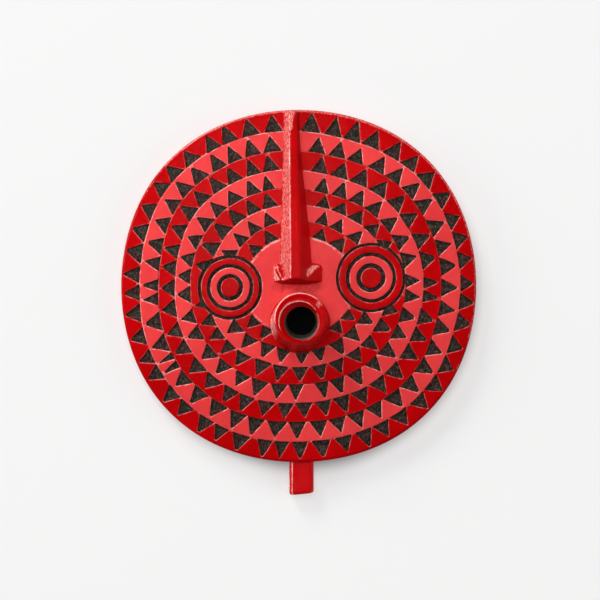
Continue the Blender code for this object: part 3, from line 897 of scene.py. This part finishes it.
def warped(points):
    """Lines and edges as a hand draws them, uneven, but true at the rim, mouth and nose."""
    x, y = points.T
    from_mouth = away(x, y, MOUTH_FOOT) - MOUTH_FOOT_RADIUS - MOUTH_FILLET
    hold = smooth_step(from_rim(x, y), 2, 10) * smooth_step(from_mouth, 0, 8)
    hold *= smooth_step(-nose_height(x, y), -1, 6)
    across, along = waver(x, y, *DRAWN_ACROSS), waver(x, y, *DRAWN_ALONG)
    return np.stack((x + hold * across, y + hold * along), axis=1)


def paint_of(x, y, on_nose):
    """The paint of each place of the front."""
    row = row_at(x, y)
    line = np.clip(np.floor(row), 0, LAST_LINE - 1).astype(int)
    tone = np.floor(row + SCORE_MIDDLE / ROW_WIDTHS[line]).astype(int)
    coral = (tone >= LAST_LINE) | (tone % 2 == 1)
    for centre, radii in EYES:
        radius = away(x, y, centre)
        pupil, ring, eye = (radius < (a + b) / 2 for a, b in zip(radii[::2], radii[1::2]))
        coral = np.where(eye, ring & ~pupil, coral)
    hewn = on_nose | (from_rim(x, y) < RIM_BEVEL)
    return np.where(hewn, HEWN, np.where(coral, CORAL, RED))


class Shell:
    """The mesh as it grows: vertices with their carved depth, lip distance and painted highlight,
    and faces with their paints."""

    def __init__(self):
        self.verts, self.depth, self.lip, self.rub = [], [], [], []
        self.faces, self.paints = [], []
        self.count = 0

    def add(self, points, depth=0.0, lip=FAR, rub=0.0):
        """Adds vertices and returns their numbers."""
        size = len(points)
        self.verts.append(np.asarray(points, float))
        for values, value in ((self.depth, depth), (self.lip, lip), (self.rub, rub)):
            values.append(np.broadcast_to(value, size))
        self.count += size
        return np.arange(self.count - size, self.count)

    def heights(self, numbers):
        return np.concatenate(self.verts)[numbers][:, 2]

    def face(self, faces, paint):
        self.faces += [tuple(int(i) for i in face) for face in faces]
        self.paints += np.broadcast_to(paint, len(faces)).tolist()

    def strip(self, ring, next_ring, paint):
        """Faces between two closed rings of as many vertices."""
        after, next_after = np.roll(ring, -1), np.roll(next_ring, -1)
        self.face(np.stack((ring, after, next_after, next_ring), axis=1), paint)

    def next_ring(self, ring, points, paint, depth=0.0, rub=0.0):
        """Adds a ring of vertices, and the faces to it from the last one."""
        after = self.add(points, depth, rub=rub)
        self.strip(ring, after, paint)
        return after

    def sheet(self, numbers, points, faces, paint, up):
        """Faces of a triangulated surface, all turned to look up (1) or down (-1)."""
        a, b, c = (points[faces[:, i]] for i in range(3))
        turned = up * np.cross(b - a, c - a) < 0
        faces[turned] = faces[turned][:, ::-1]
        self.face(numbers[faces], paint)


def back_z(x, y):
    """Height of the back: flat rim, and the hollow with the marks of the gouge."""
    radius, angle = np.hypot(x, y), np.arctan2(x, y)
    share = np.clip(radius / HOLLOW_RADIUS, 0, 1)
    depth = (dome_z(0.0) - WALL) * np.sqrt(np.clip(1 - share ** 2, 0, 1))
    broad, fine = GOUGE_MARKS
    furrow = waver(radius, angle * 60, broad) + waver(radius, angle * 90, fine)
    return np.maximum(depth + smooth_step(HOLLOW_RADIUS - radius, 0, 8) * furrow, 0.0)


def back_plan():
    plan = Plan()
    rim = plan.line(rim_ring(BACK_ROUNDING))
    bore = plan.line(ring_points(MOUTH_BORE, BACK_BORE_RADIUS, MOUTH_COLUMNS))
    for inward in HOLLOW_ROWS:
        plan.line(ring_points((0, 0), HOLLOW_RADIUS - inward, HOLLOW_POINTS))
    points = lattice(BACK_LATTICE, DISC_RADIUS, 5)
    inside = from_rim(*points.T) > BACK_ROUNDING + 1.5
    clear = away(*points.T, MOUTH_BORE) > MOUTH_BORE_RADIUS + 1.8
    plan.free(points[inside & clear], BACK_GAP)
    return plan, rim, bore


def beyond_hole(middles, centre, radius):
    """Whether faces lie outside a round hole, by their middles."""
    return away(*middles.T, centre) > radius * math.cos(math.pi / MOUTH_COLUMNS) - 0.02


def add_front(shell, cuts):
    plan, rim, mouth = front_plan(cuts)
    points, faces, where = plan.triangulated()
    z, depth, lip = front_z(*points.T, cuts)
    middles = points[faces].mean(axis=1)
    kept = beyond_hole(middles, MOUTH_FOOT, MOUTH_FOOT_RADIUS + MOUTH_FILLET)
    faces, middles = faces[kept], middles[kept]
    paints = paint_of(*middles.T, nose_height(*middles.T) > 0.3)
    on_nose = nose_height(*points.T) > 0
    lip = np.where(on_nose, lip, np.maximum(lip, scored_edge(*points.T)))
    # Painted highlights of the nose and of the rim's upper half
    rub = np.maximum(highlit_nose(*points.T), highlit_rim(*points.T))
    numbers = shell.add(np.column_stack((warped(points), z)), depth, lip, rub)
    shell.sheet(numbers, points, faces, paints, 1)
    return numbers[[where[i] for i in rim]], numbers[[where[i] for i in mouth]]


def add_back(shell):
    plan, rim, bore = back_plan()
    points, faces, where = plan.triangulated()
    faces = faces[beyond_hole(points[faces].mean(axis=1), MOUTH_BORE, BACK_BORE_RADIUS)]
    numbers = shell.add(np.column_stack((points, back_z(*points.T))))
    shell.sheet(numbers, points, faces, BARE, -1)
    return numbers[[where[i] for i in rim]], numbers[[where[i] for i in bore]]


def rim_profile(edge_z):
    """The rim's side as (inward, height), from its rounding down to the back."""
    first = math.degrees(math.asin(1 - FRONT_EDGE / RIM_ROUNDING))
    for angle in np.radians(np.linspace(first, 90, 5)[1:]):
        yield RIM_ROUNDING * (1 - math.sin(angle)), edge_z + RIM_ROUNDING * math.cos(angle)
    for share in np.linspace(0, 1, 8)[1:]:
        yield 0.0, mixed(edge_z, BACK_ROUNDING, share)
    for angle in np.radians((30, 60)):
        yield BACK_ROUNDING * (1 - math.cos(angle)), BACK_ROUNDING * (1 - math.sin(angle))


def add_rim(shell, front_rim, back_rim):
    """The rim's side, from the front's edge over its rounding and down to the back."""
    edge_z = float(dome_z(DISC_RADIUS - RIM_ROUNDING)) - RIM_ROUNDING
    ring = front_rim
    for inward, z in rim_profile(edge_z):
        places = rim_ring(inward)
        knife = RIM_MARKS[0] + waver(places[:, 0], places[:, 1] + 3 * z, RIM_MARKS)
        middle = smooth_step(z, 0, 3) * smooth_step(edge_z - z, -1, 3)
        places = places * (1 - middle * knife / DISC_RADIUS)[:, None]
        points = np.column_stack((places, np.full(RIM_POINTS, z)))
        ring = shell.next_ring(ring, points, HEWN)
    shell.strip(ring, back_rim, HEWN)


def mouth_rings(surface, front):
    """The mouth's rings from its foot over the front and down to the bore: centre, radius, height,
    paint and how deep in the dark each lies."""
    rings = []

    def ring(centre, radius, z, paint=HEWN, dark=0.0):
        rings.append((centre, radius, z, paint, dark))

    def leaning(low, high, share):
        return tuple(mixed(a, b, share) for a, b in zip(low, high))

    shoulder, low = front - MOUTH_FRONT_ROUNDING, surface + MOUTH_FILLET
    for angle in np.radians((30, 60, 90)):
        radius = MOUTH_FOOT_RADIUS + MOUTH_FILLET * (1 - math.sin(angle))
        ring(MOUTH_FOOT, radius, surface + MOUTH_FILLET * (1 - math.cos(angle)))
    for share in np.linspace(0, 1, 18)[1:]:
        radius = mixed(MOUTH_FOOT_RADIUS, MOUTH_FRONT_RADIUS, share)
        ring(leaning(MOUTH_FOOT, MOUTH_FRONT, share), radius, mixed(low, shoulder, share))
    for angle in np.radians((12, 24, 36, 48, 60, 75, 90)):
        radius = MOUTH_FRONT_RADIUS - MOUTH_FRONT_ROUNDING * (1 - math.cos(angle))
        ring(MOUTH_FRONT, radius, shoulder + MOUTH_FRONT_ROUNDING * math.sin(angle))
    outer = MOUTH_FRONT_RADIUS - MOUTH_FRONT_ROUNDING
    for share, dished in MOUTH_DISH_SHARES:
        radius = mixed(outer, MOUTH_BEVEL_RADIUS + 0.6, share)
        ring(leaning(MOUTH_FRONT, MOUTH_BEVEL, share), radius, front - MOUTH_DISH * dished)
    for wider, drop in MOUTH_BEVEL_ROLL:
        ring(MOUTH_BEVEL, MOUTH_BEVEL_RADIUS + wider, front - drop)
    for share in (0.12, 0.35, 0.6, 0.85, 0.97):
        radius = mixed(MOUTH_BEVEL_RADIUS, MOUTH_BORE_RADIUS, share)
        ring(leaning(MOUTH_BEVEL, MOUTH_BORE, share), radius, front - MOUTH_BEVEL_DEPTH * share)
    neck = front - MOUTH_BEVEL_DEPTH
    ring(MOUTH_BORE, MOUTH_BORE_RADIUS, neck - 0.25, HEWN, 0.2)
    ring(MOUTH_BORE, MOUTH_BORE_RADIUS, neck - BORE_START, BORE, 0.6)
    return rings


def highlit_mouth(radius, below, angle):
    """Where the mouth gets a painted highlight: its two edges, a streak of its front and its left
    wall.
    """
    outer = smooth_step(1.0 - np.abs(radius - MOUTH_FRONT_RADIUS + 0.9), 0, 0.7)
    inner = smooth_step(0.8 - np.abs(radius - MOUTH_BEVEL_RADIUS - 0.3), 0, 0.5)
    broken = waver(angle * 18, np.full(len(angle), radius), MOUTH_PATCHES)
    side = smooth_step(np.cos(angle - math.radians(MOUTH_HIGHLIGHT_SIDE)) + broken, -0.15, 0.35)
    off_streak = (angle - math.radians(MOUTH_STREAK)) / math.radians(STREAK_REACH)
    streak = 1.1 * smooth_step(0.75 - np.abs(off_streak) + broken, 0, 0.5)
    streak *= radius > MOUTH_BEVEL_RADIUS + 1.5
    left, low, high = MOUTH_WALL_HIGHLIGHT
    wall = smooth_step(np.cos(angle - math.radians(left)) + 0.4 * broken, low, high)
    wall *= 1.2 * (radius > MOUTH_FRONT_RADIUS - 1)
    edges = MOUTH_EDGE_HIGHLIGHT * np.maximum(outer, inner) * side
    on_face = (below < MOUTH_FRONT_ROUNDING) & (radius > MOUTH_BEVEL_RADIUS - 0.5)
    return np.where(on_face, np.maximum(edges, streak), wall)


def add_mouth(shell, foot_ring, back_bore):
    x, y = MOUTH_FOOT
    front = float(surface_z(np.array([x]), np.array([y]))[0]) + MOUTH_HEIGHT
    angle = round_angles(MOUTH_COLUMNS)
    outward = np.stack((np.cos(angle), np.sin(angle)), axis=1)
    ring = foot_ring
    rings = mouth_rings(shell.heights(foot_ring), front)
    for level, (centre, radius, z, paint, dark) in enumerate(rings):
        facet = waver(angle * 30, np.full(MOUTH_COLUMNS, level * 1.4), MOUTH_MARKS)
        places = ring_points(centre, radius, MOUTH_COLUMNS) + facet[:, None] * outward
        points = np.column_stack((places, np.broadcast_to(z, MOUTH_COLUMNS)))
        # Painted highlights on the mouth's edges, front and left wall
        rub = highlit_mouth(radius, front - z, angle)
        ring = shell.next_ring(ring, points, paint, dark * BORE_DARK, rub)
    start, bottom = front - MOUTH_BEVEL_DEPTH - BORE_START, shell.heights(back_bore) + 0.6
    for share in np.linspace(0, 1, 15)[1:]:
        gouge = waver(angle * 24, np.full(MOUTH_COLUMNS, share * 60), BORE_MARKS) - 0.1
        centre = (MOUTH_BORE[0], MOUTH_BORE[1] + share * MOUTH_BACK_SHIFT)
        radius = mixed(MOUTH_BORE_RADIUS, MOUTH_BACK_RADIUS, share)
        places = ring_points(centre, radius, MOUTH_COLUMNS) + gouge[:, None] * outward
        points = np.column_stack((places, mixed(start, bottom, share)))
        ring = shell.next_ring(ring, points, BORE, BORE_DARK)
    shell.strip(ring, back_bore, BORE)


def add_peg(shell):
    """The peg: rounded sections along its length, closed at both ends."""
    tip_y = -float(line_radius(0, math.pi)) - PEG_LENGTH
    root = np.linspace(PEG_CHAMFER, PEG_LENGTH + PEG_ROOT, 26)[1:]
    rings = []
    for along in np.concatenate((np.linspace(0, PEG_CHAMFER, 6), root)):
        turn = math.acos(min(1.0, max(0.0, 1 - along / PEG_CHAMFER)))
        inset = PEG_CHAMFER * (1 - math.sin(turn))
        left, right = inset - PEG_WIDTH / 2, PEG_WIDTH / 2 - inset
        bottom, top = PEG_BOTTOM + inset / 2, PEG_THICKNESS - inset / 2
        outline = peg_outline(left, right, bottom, top)
        y = tip_y + along
        knife = PEG_SINK + waver(outline[:, 0] + 40, outline[:, 1] + y * 0.6, PEG_MARKS)
        outward = outline - np.array((0, (bottom + top) / 2))
        outward /= np.linalg.norm(outward, axis=1)[:, None]
        outline = outline - knife[:, None] * outward
        across, height = outline.T
        slant = PEG_SLANT * (0.5 + across / PEG_WIDTH)
        # A painted highlight along the peg's upper left edge
        upper = smooth_step(1.1 - away(across, height, (left + PEG_CHAMFER, top)), 0, 0.7)
        lower = smooth_step(1.2 - away(across, height, (left, top - PEG_CHAMFER)), 0, 0.7)
        points = np.column_stack((across + PEG_X, y + slant, height))
        rings.append(shell.add(points, rub=np.maximum(PEG_HIGHLIGHT * upper, lower)))
    for ring, next_ring in zip(rings, rings[1:]):
        shell.strip(ring, next_ring, HEWN)
    for ring, direction in ((rings[0], 1), (rings[-1], -1)):
        middle = np.concatenate(shell.verts)[ring].mean(axis=0)
        centre = shell.add(middle[None, :])[0]
        fan = np.stack((np.roll(ring, -1), ring, np.full(len(ring), centre)), axis=1)
        shell.face(fan[:, ::direction], HEWN)


def peg_outline(left, right, bottom, top):
    """Points round a section of the peg, with its upper edges chamfered."""
    cut = min(PEG_CHAMFER, (right - left) / 4)
    corners = [(left, bottom), (right, bottom), (right, top - cut), (right - cut, top)]
    corners += [(left + cut, top), (left, top - cut)]
    outline = []
    for a, b, steps in zip(corners, corners[1:] + corners[:1], PEG_POINTS):
        for k in range(steps):
            turn = math.pi * (0.08 + 0.84 * (k + 0.5) / steps)
            share = 0.5 - 0.5 * math.cos(turn) / math.cos(math.pi * 0.08)
            outline.append((mixed(a[0], b[0], share), mixed(a[1], b[1], share)))
    return np.array(outline)


def scored_edge(x, y):
    """The lip value of both sides of a scored line, which are painted pale too: worn paint with a
    painted highlight where they look up and left.
    """
    outward = from_score(row_at(x, y))
    on_score = (outward < SCORE_OUTER + 0.1) & (outward > -SCORE_INNER - 0.15)
    pale_lip = mixed(LAND_CONTOUR, LIP, SCORE_PALE_LIP)
    return np.where(on_score & ~eye_at(x, y)[0], pale_lip, FAR)


def flank_highlight_and_underside(mesh, paints):
    """How far each vertex of the hewn red lies on a steep flank that looks left and up, towards the
    side light, where a highlight is painted with flecks of worn paint, and how far it looks towards
    the chin, where shade is painted under the nose."""
    normals = np.zeros(len(mesh.vertices) * 3)
    mesh.vertex_normals.foreach_get("vector", normals)
    normals = normals.reshape(-1, 3)
    hewn = np.zeros(len(mesh.vertices), bool)
    for face, paint in zip(mesh.polygons, paints):
        if paint == HEWN:
            hewn[list(face.vertices)] = True
    # Steep flanks that look towards the side light get a painted highlight; faces that look to the
    # chin get painted shade
    flanks = smooth_step(normals @ np.array(HIGHLIGHT_DIRECTION), *HIGHLIGHT_RANGE)
    return np.where(hewn, flanks, 0.0), smooth_step(-normals[:, 1], 0.3, 0.65)


def paint_values(mesh, shell):
    """What the paints go by at each vertex, by name."""
    x, y, z = np.concatenate(shell.verts).T
    flanks, under = flank_highlight_and_underside(mesh, shell.paints)
    up_rim = smooth_step(z, *RIM_HIGHLIGHT_HEIGHTS)
    flanks *= np.where(from_rim(x, y) < FRONT_EDGE, up_rim, 1)
    worn_and_highlit = np.maximum(flanks, highlit_rim(x, y) * up_rim)
    # The nose's faces that look to the chin get painted shade and no highlight
    near_foot = np.abs(y - NOSE_FOOT_Y) < NOSE_UNDERCUT + 2
    under_nose = under * (nose_height(x, y) > 0.3) * near_foot
    return {
        # Painted highlights, flecked like worn paint, and painted shade go to the paints as
        # attributes
        "carved_depth": np.concatenate(shell.depth),
        "lip_distance": np.concatenate(shell.lip),
        "wear_and_highlight": np.maximum(worn_and_highlit, np.concatenate(shell.rub)) * (1 - under_nose),
        "stain_and_painted_shade": np.maximum(painted_shade_at(x, y), PAINTED_SHADE_UNDER_NOSE * under_nose),
    }


def frame_offset():
    """Where the disc's middle lies in the frame: the solid's outline is centred on its origin."""
    low, _ = CAD_BOX
    rim = rim_ring(0.0)
    across = -(rim[:, 0].min() + rim[:, 0].max()) / 2
    chin = -float(line_radius(0, math.pi)) - PEG_LENGTH
    return across, low.y / MM - chin


def make_mask(materials):
    cuts = make_cuts()
    shell = Shell()
    front_rim, mouth_foot = add_front(shell, cuts)
    back_rim, back_bore = add_back(shell)
    add_rim(shell, front_rim, back_rim)
    add_mouth(shell, mouth_foot, back_bore)
    add_peg(shell)
    verts = np.concatenate(shell.verts)
    verts[:, :2] += frame_offset()
    mesh = bpy.data.meshes.new("carved_mask")
    mesh.from_pydata((verts * MM).tolist(), [], shell.faces)
    for made in materials:
        mesh.materials.append(made)
    mesh.polygons.foreach_set("material_index", np.array(shell.paints, np.int32))
    mesh.update()
    for name, value in paint_values(mesh, shell).items():
        layer = mesh.attributes.new(name, "FLOAT", "POINT")
        layer.data.foreach_set("value", value.astype(np.float32))
    mesh.shade_smooth()
    mesh.set_sharp_from_angle(angle=SHARP_ANGLE)
    made = bpy.data.objects.new("carved_mask", mesh)
    bpy.context.scene.collection.objects.link(made)
    weighted = made.modifiers.new("weighted", "WEIGHTED_NORMAL")
    weighted.keep_sharp = True
    weighted.weight = NORMAL_WEIGHT
    print("carved_mask", len(mesh.vertices), "vertices", len(mesh.loop_triangles), "triangles")
    return made


class Graph:
    """A material's or world's node tree, with short ways to add to it."""

    def __init__(self, tree):
        self.tree = tree

    def fill(self, node, inputs):
        """Links or sets the inputs of a node."""
        for name, value in inputs.items():
            if isinstance(value, bpy.types.NodeSocket):
                self.tree.links.new(value, node.inputs[name])
            else:
                node.inputs[name].default_value = value
        return node

    def add(self, kind, inputs=None, **settings):
        node = self.tree.nodes.new(kind)
        for name, value in settings.items():
            setattr(node, name, value)
        return self.fill(node, inputs or {})

    def math(self, operation, *values, clamp=False):
        inputs = dict(enumerate(values))
        return self.add("ShaderNodeMath", inputs, operation=operation, use_clamp=clamp).outputs[0]

    def times(self, a, b, clamp=False):
        return self.math("MULTIPLY", a, b, clamp=clamp)

    def line(self, value, slope, start):
        return self.math("MULTIPLY_ADD", value, slope, start)

    def between(self, value, low, high):
        """0 below low, 1 above high, smooth between."""
        inputs = {"Value": value, "From Min": low, "From Max": high}
        return self.add("ShaderNodeMapRange", inputs, interpolation_type="SMOOTHSTEP").outputs[0]

    def spread(self, value, low, high):
        """A value of 0 to 1, spread from low to high."""
        inputs = {"Value": value, "To Min": low, "To Max": high}
        return self.add("ShaderNodeMapRange", inputs).outputs[0]

    def noise(self, place, scale, detail, rough, distortion=0.0):
        """Noise of one scale, or of a scale for each axis."""
        if isinstance(scale, tuple):
            place, scale = self.vector("MULTIPLY", place, scale).outputs[0], 1.0
        inputs = {"Vector": place, "Scale": scale, "Detail": detail}
        inputs.update({"Roughness": rough, "Distortion": distortion})
        return self.add("ShaderNodeTexNoise", inputs).outputs[0]

    def mix(self, share, a, b):
        return self.add("ShaderNodeMix", {0: share, 6: a, 7: b}, data_type="RGBA").outputs[2]

    def vector(self, operation, a, b):
        return self.add("ShaderNodeVectorMath", {0: a, 1: b}, operation=operation)

    def bump(self, height, strength, distance, normal=None):
        inputs = {"Height": height, "Strength": strength, "Distance": distance}
        if normal is not None:
            inputs["Normal"] = normal
        return self.add("ShaderNodeBump", inputs).outputs[0]


def new_material(name):
    made = bpy.data.materials.new(name)
    made.use_nodes = True
    graph = Graph(made.node_tree)
    shader = made.node_tree.nodes["Principled BSDF"]
    place = graph.add("ShaderNodeTexCoord").outputs["Object"]
    return made, graph, shader, place


def attribute(graph, name):
    return graph.add("ShaderNodeAttribute", attribute_name=name).outputs["Fac"]


def charcoal(graph, place):
    """The blackened floors: charcoal with green and violet mottling and faint grain."""
    grain = graph.noise(place, *SOOT)
    dark = graph.mix(graph.between(graph.noise(place, *TINT), 0.44, 0.56), *CHARCOAL)
    mottle = graph.between(graph.noise(place, *MOTTLE), 0.46, 0.66)
    soot = graph.times(graph.between(grain, 0.54, 0.40), 0.85)
    return graph.mix(soot, graph.mix(mottle, dark, CHARCOAL_WORN), BLACK), grain


def looks(graph):
    """The way a face looks."""
    return graph.add("ShaderNodeNewGeometry").outputs["True Normal"]


def steepness(graph):
    """0 on faces that look up out of the mask, 1 on its steep flanks."""
    up = graph.add("ShaderNodeSeparateXYZ", {0: looks(graph)}).outputs["Z"]
    return graph.between(up, 0.80, 0.50)


def lit_side(graph):
    """How pale a lip is painted: a little worn paint everywhere, and a painted highlight where it
    looks up and to the left, towards the light.
    """
    towards = graph.vector("DOT_PRODUCT", looks(graph), LIP_HIGHLIGHT_WAY).outputs["Value"]
    return graph.line(graph.between(towards, *LIP_HIGHLIGHT_RANGE), *LIP_WEAR_AND_HIGHLIGHT)


def brushed_coat(graph, place, brushed, deep, bright):
    """The coat's own colour, uneven as a brush leaves it."""
    coat = graph.mix(graph.between(graph.noise(place, *BROAD), 0.30, 0.72), deep, bright)
    return graph.mix(graph.times(graph.between(brushed, 0.60, 0.32), 0.22), coat, deep)


def chipped(graph, coat, chips, worn_and_highlit):
    """Hewn wood's paint, chipped to its pale colour where worn paint and painted highlight are set,
    and near white where the painted highlight is strongest.
    """
    wear_and_highlight = attribute(graph, "wear_and_highlight")
    flecks = graph.between(graph.math("ADD", chips, graph.line(wear_and_highlight, 0.34, -0.32)), 0.42, 0.62)
    # Where the painted highlight is strongest, the pale turns near white
    edge = graph.mix(graph.between(wear_and_highlight, 1.05, 1.45), worn_and_highlit, EDGE_HIGHLIGHT_COLOUR)
    return graph.mix(flecks, coat, edge)


def paint(name, deep, bright, worn_and_highlit, hewn=False):
    """A hand-brushed gloss paint, pale on the lips as worn paint with a painted highlight where they
    look to the light, darkened by painted shade, that stops where a cut gets dark. Hewn wood under
    it shows the knife, most of all on the flanks, with painted highlights flecked like worn paint."""
    made, graph, shader, place = new_material(name)
    brushed, grit, patchy = (graph.noise(place, *kind) for kind in (BRUSHED, GRIT, PATCHY))
    coat = brushed_coat(graph, place, brushed, deep, bright)
    on_lip = graph.between(attribute(graph, "lip_distance"), LAND_CONTOUR, LIP)
    pale_lip = graph.times(on_lip, graph.between(patchy, 0.40, 0.60), clamp=True)
    # Lips are painted pale: a little wear, and a painted highlight where they look towards the light
    coat = graph.mix(graph.times(pale_lip, lit_side(graph)), coat, worn_and_highlit)
    if hewn:
        chips = graph.noise(place, *CHIPS)
        coat = chipped(graph, coat, chips, worn_and_highlit)
    # Painted shade: the coat darkens below and under the nose and on the rim's lower right
    stain_and_painted_shade = graph.times(attribute(graph, "stain_and_painted_shade"), graph.between(patchy, 0.15, 0.70))
    coat = graph.mix(graph.times(stain_and_painted_shade, PAINTED_SHADE_STRENGTH, clamp=True), coat, SHADE_COLOUR)
    soot, grain = charcoal(graph, place)
    ragged = graph.times(graph.math("SUBTRACT", grit, 0.5), 0.8)
    ragged = graph.math("ADD", attribute(graph, "carved_depth"), ragged)
    in_cut = graph.between(ragged, 0.28, 0.62)
    gloss = graph.spread(brushed, *GLOSS)
    dull = graph.math("ADD", gloss, graph.times(in_cut, DULL_IN_CUT), clamp=True)
    shine = graph.line(in_cut, *SHINE)
    relief = graph.bump(grit, *GRIT_RELIEF, graph.bump(brushed, *BRUSH_RELIEF))
    if hewn:
        steep = steepness(graph)
        shine = graph.math("SUBTRACT", shine, graph.times(steep, DULL_FLANK))
        relief = graph.bump(chips, CHIP_RELIEF, graph.line(steep, *CHIP_DEPTH), relief)
    relief = graph.bump(grain, graph.line(in_cut, *FURROWS), FURROW_DEPTH, relief)
    colour = graph.mix(in_cut, coat, soot)
    graph.fill(shader, {
        "Base Color": colour, "Roughness": dull, "Specular IOR Level": shine, "Normal": relief,
    })
    return made


def red_paint():
    return paint("red_paint", *RED_SHADES)


def coral_paint():
    return paint("coral_paint", *CORAL_SHADES)


def hewn_red_paint():
    """The red of the nose, mouth, peg and rim, over wood that shows the knife."""
    return paint("hewn_red_paint", *HEWN_SHADES, hewn=True)


def bare_wood():
    """The hollow back: pale carved wood with its grain along the mask and darker patches."""
    made, graph, shader, place = new_material("bare_wood")
    grain, fibres = graph.noise(place, *WOOD_GRAIN), graph.noise(place, *WOOD_FIBRES)
    stain_and_painted_shade = graph.times(graph.between(graph.noise(place, *WOOD_STAIN), 0.45, 0.75), 0.4)
    wood = graph.mix(graph.between(grain, 0.30, 0.72), *WOOD_SHADES)
    graph.fill(shader, {
        "Base Color": graph.mix(stain_and_painted_shade, wood, WOOD_DARK),
        "Roughness": graph.spread(fibres, 0.62, 0.85),
        "Normal": graph.bump(fibres, *FIBRE_RELIEF, graph.bump(grain, *WOOD_RELIEF)),
    })
    return made


def dark_bore():
    """The wall of the hole through the mouth: sooty, with greenish grey grain."""
    made, graph, shader, place = new_material("dark_bore")
    soot, grain = charcoal(graph, place)
    graph.fill(shader, {
        "Base Color": graph.mix(0.7, soot, BORE_GREY),
        "Roughness": graph.spread(grain, 0.6, 0.9),
        "Normal": graph.bump(grain, *BORE_RELIEF),
    })
    return made


def shade(graph, shift, reach):
    """Painted shadow on the floor: 0 near a place beside the mask's middle, 1 well away from it."""
    across, along = frame_offset()
    middle = ((across + shift[0]) * MM, (along + shift[1]) * MM, 0)
    place = graph.add("ShaderNodeTexCoord").outputs["Object"]
    return graph.between(graph.vector("DISTANCE", place, middle).outputs["Value"], *reach)


def pale_floor():
    """A pale floor that glows, with painted shadow beneath the mask and beyond its chin."""
    made, graph, shader, _ = new_material("pale_floor")
    # Painted shadow: the floor's glow and colour fall to black beneath the mask, and darken beyond
    # the chin
    near_mask = shade(graph, SHADE_SHIFT, SHADE_UNDER_MASK)
    near_chin = graph.line(shade(graph, CHIN_SHIFT, SHADE_AT_CHIN), CHIN_SHADE, 1 - CHIN_SHADE)
    open_floor = graph.times(near_mask, near_chin)
    dark, pale = (FLOOR_DARK,) * 3 + (1,), (FLOOR_ALBEDO,) * 3 + (1,)
    graph.fill(shader, {
        "Base Color": graph.mix(open_floor, dark, pale),
        "Roughness": 0.9,
        "Specular IOR Level": 0.1,
        "Emission Color": (1.0, 1.0, 0.995, 1),
        "Emission Strength": graph.times(open_floor, FLOOR_GLOW),
    })
    return made


def floor():
    corners = [(x * FLOOR_HALF, y * FLOOR_HALF, 0) for x, y in ((-1, -1), (1, -1), (1, 1), (-1, 1))]
    mesh = bpy.data.meshes.new("floor")
    mesh.from_pydata(corners, [], [(0, 1, 2, 3)])
    mesh.materials.append(pale_floor())
    plane = bpy.data.objects.new("floor", mesh)
    bpy.context.scene.collection.objects.link(plane)


def area_light(name, direction, distance, size, power, glints):
    light = bpy.data.lights.new(name, "AREA")
    light.shape = "DISK"
    light.size = size
    light.energy = power
    made = bpy.data.objects.new(name, light)
    towards = Vector(direction).normalized()
    made.location = towards * distance
    made.rotation_euler = towards.to_track_quat("Z", "Y").to_euler()
    made.visible_glossy = glints
    bpy.context.scene.collection.objects.link(made)


def sky():
    """A sky that is bright near the horizon, most at the left and towards the crown."""
    world = bpy.data.worlds.new("studio")
    bpy.context.scene.world = world
    world.use_nodes = True
    graph = Graph(world.node_tree)
    direction = graph.add("ShaderNodeTexCoord").outputs["Generated"]
    x, y, z = graph.add("ShaderNodeSeparateXYZ", {0: direction}).outputs
    ways = graph.math("ADD", graph.line(x, *SKY_ACROSS), graph.line(y, *SKY_ALONG))
    low_sky = graph.times(graph.between(z, 0.55, 0.25), ways, clamp=True)
    strength = graph.line(low_sky, WORLD_STRENGTH, ZENITH_STRENGTH)
    graph.fill(world.node_tree.nodes["Background"], {"Color": SKY, "Strength": strength})


def light_and_camera():
    sky()
    for name, light in LIGHTS.items():
        area_light(name, *light)
    bpy.context.scene.view_settings.view_transform = "Standard"
    lens = bpy.data.cameras.new("camera")
    lens.lens = LENS
    lens.sensor_width = SENSOR
    camera = bpy.data.objects.new("camera", lens)
    across, along = frame_offset()
    camera.location = (across * MM, (along - CAMERA_SHIFT) * MM, CAMERA_HEIGHT)
    bpy.context.scene.collection.objects.link(camera)
    bpy.context.scene.camera = camera


def main():
    mask = make_mask((red_paint(), coral_paint(), hewn_red_paint(), bare_wood(), dark_bore()))
    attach(mask, "root")
    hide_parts("sun_mask")
    floor()
    light_and_camera()


main()
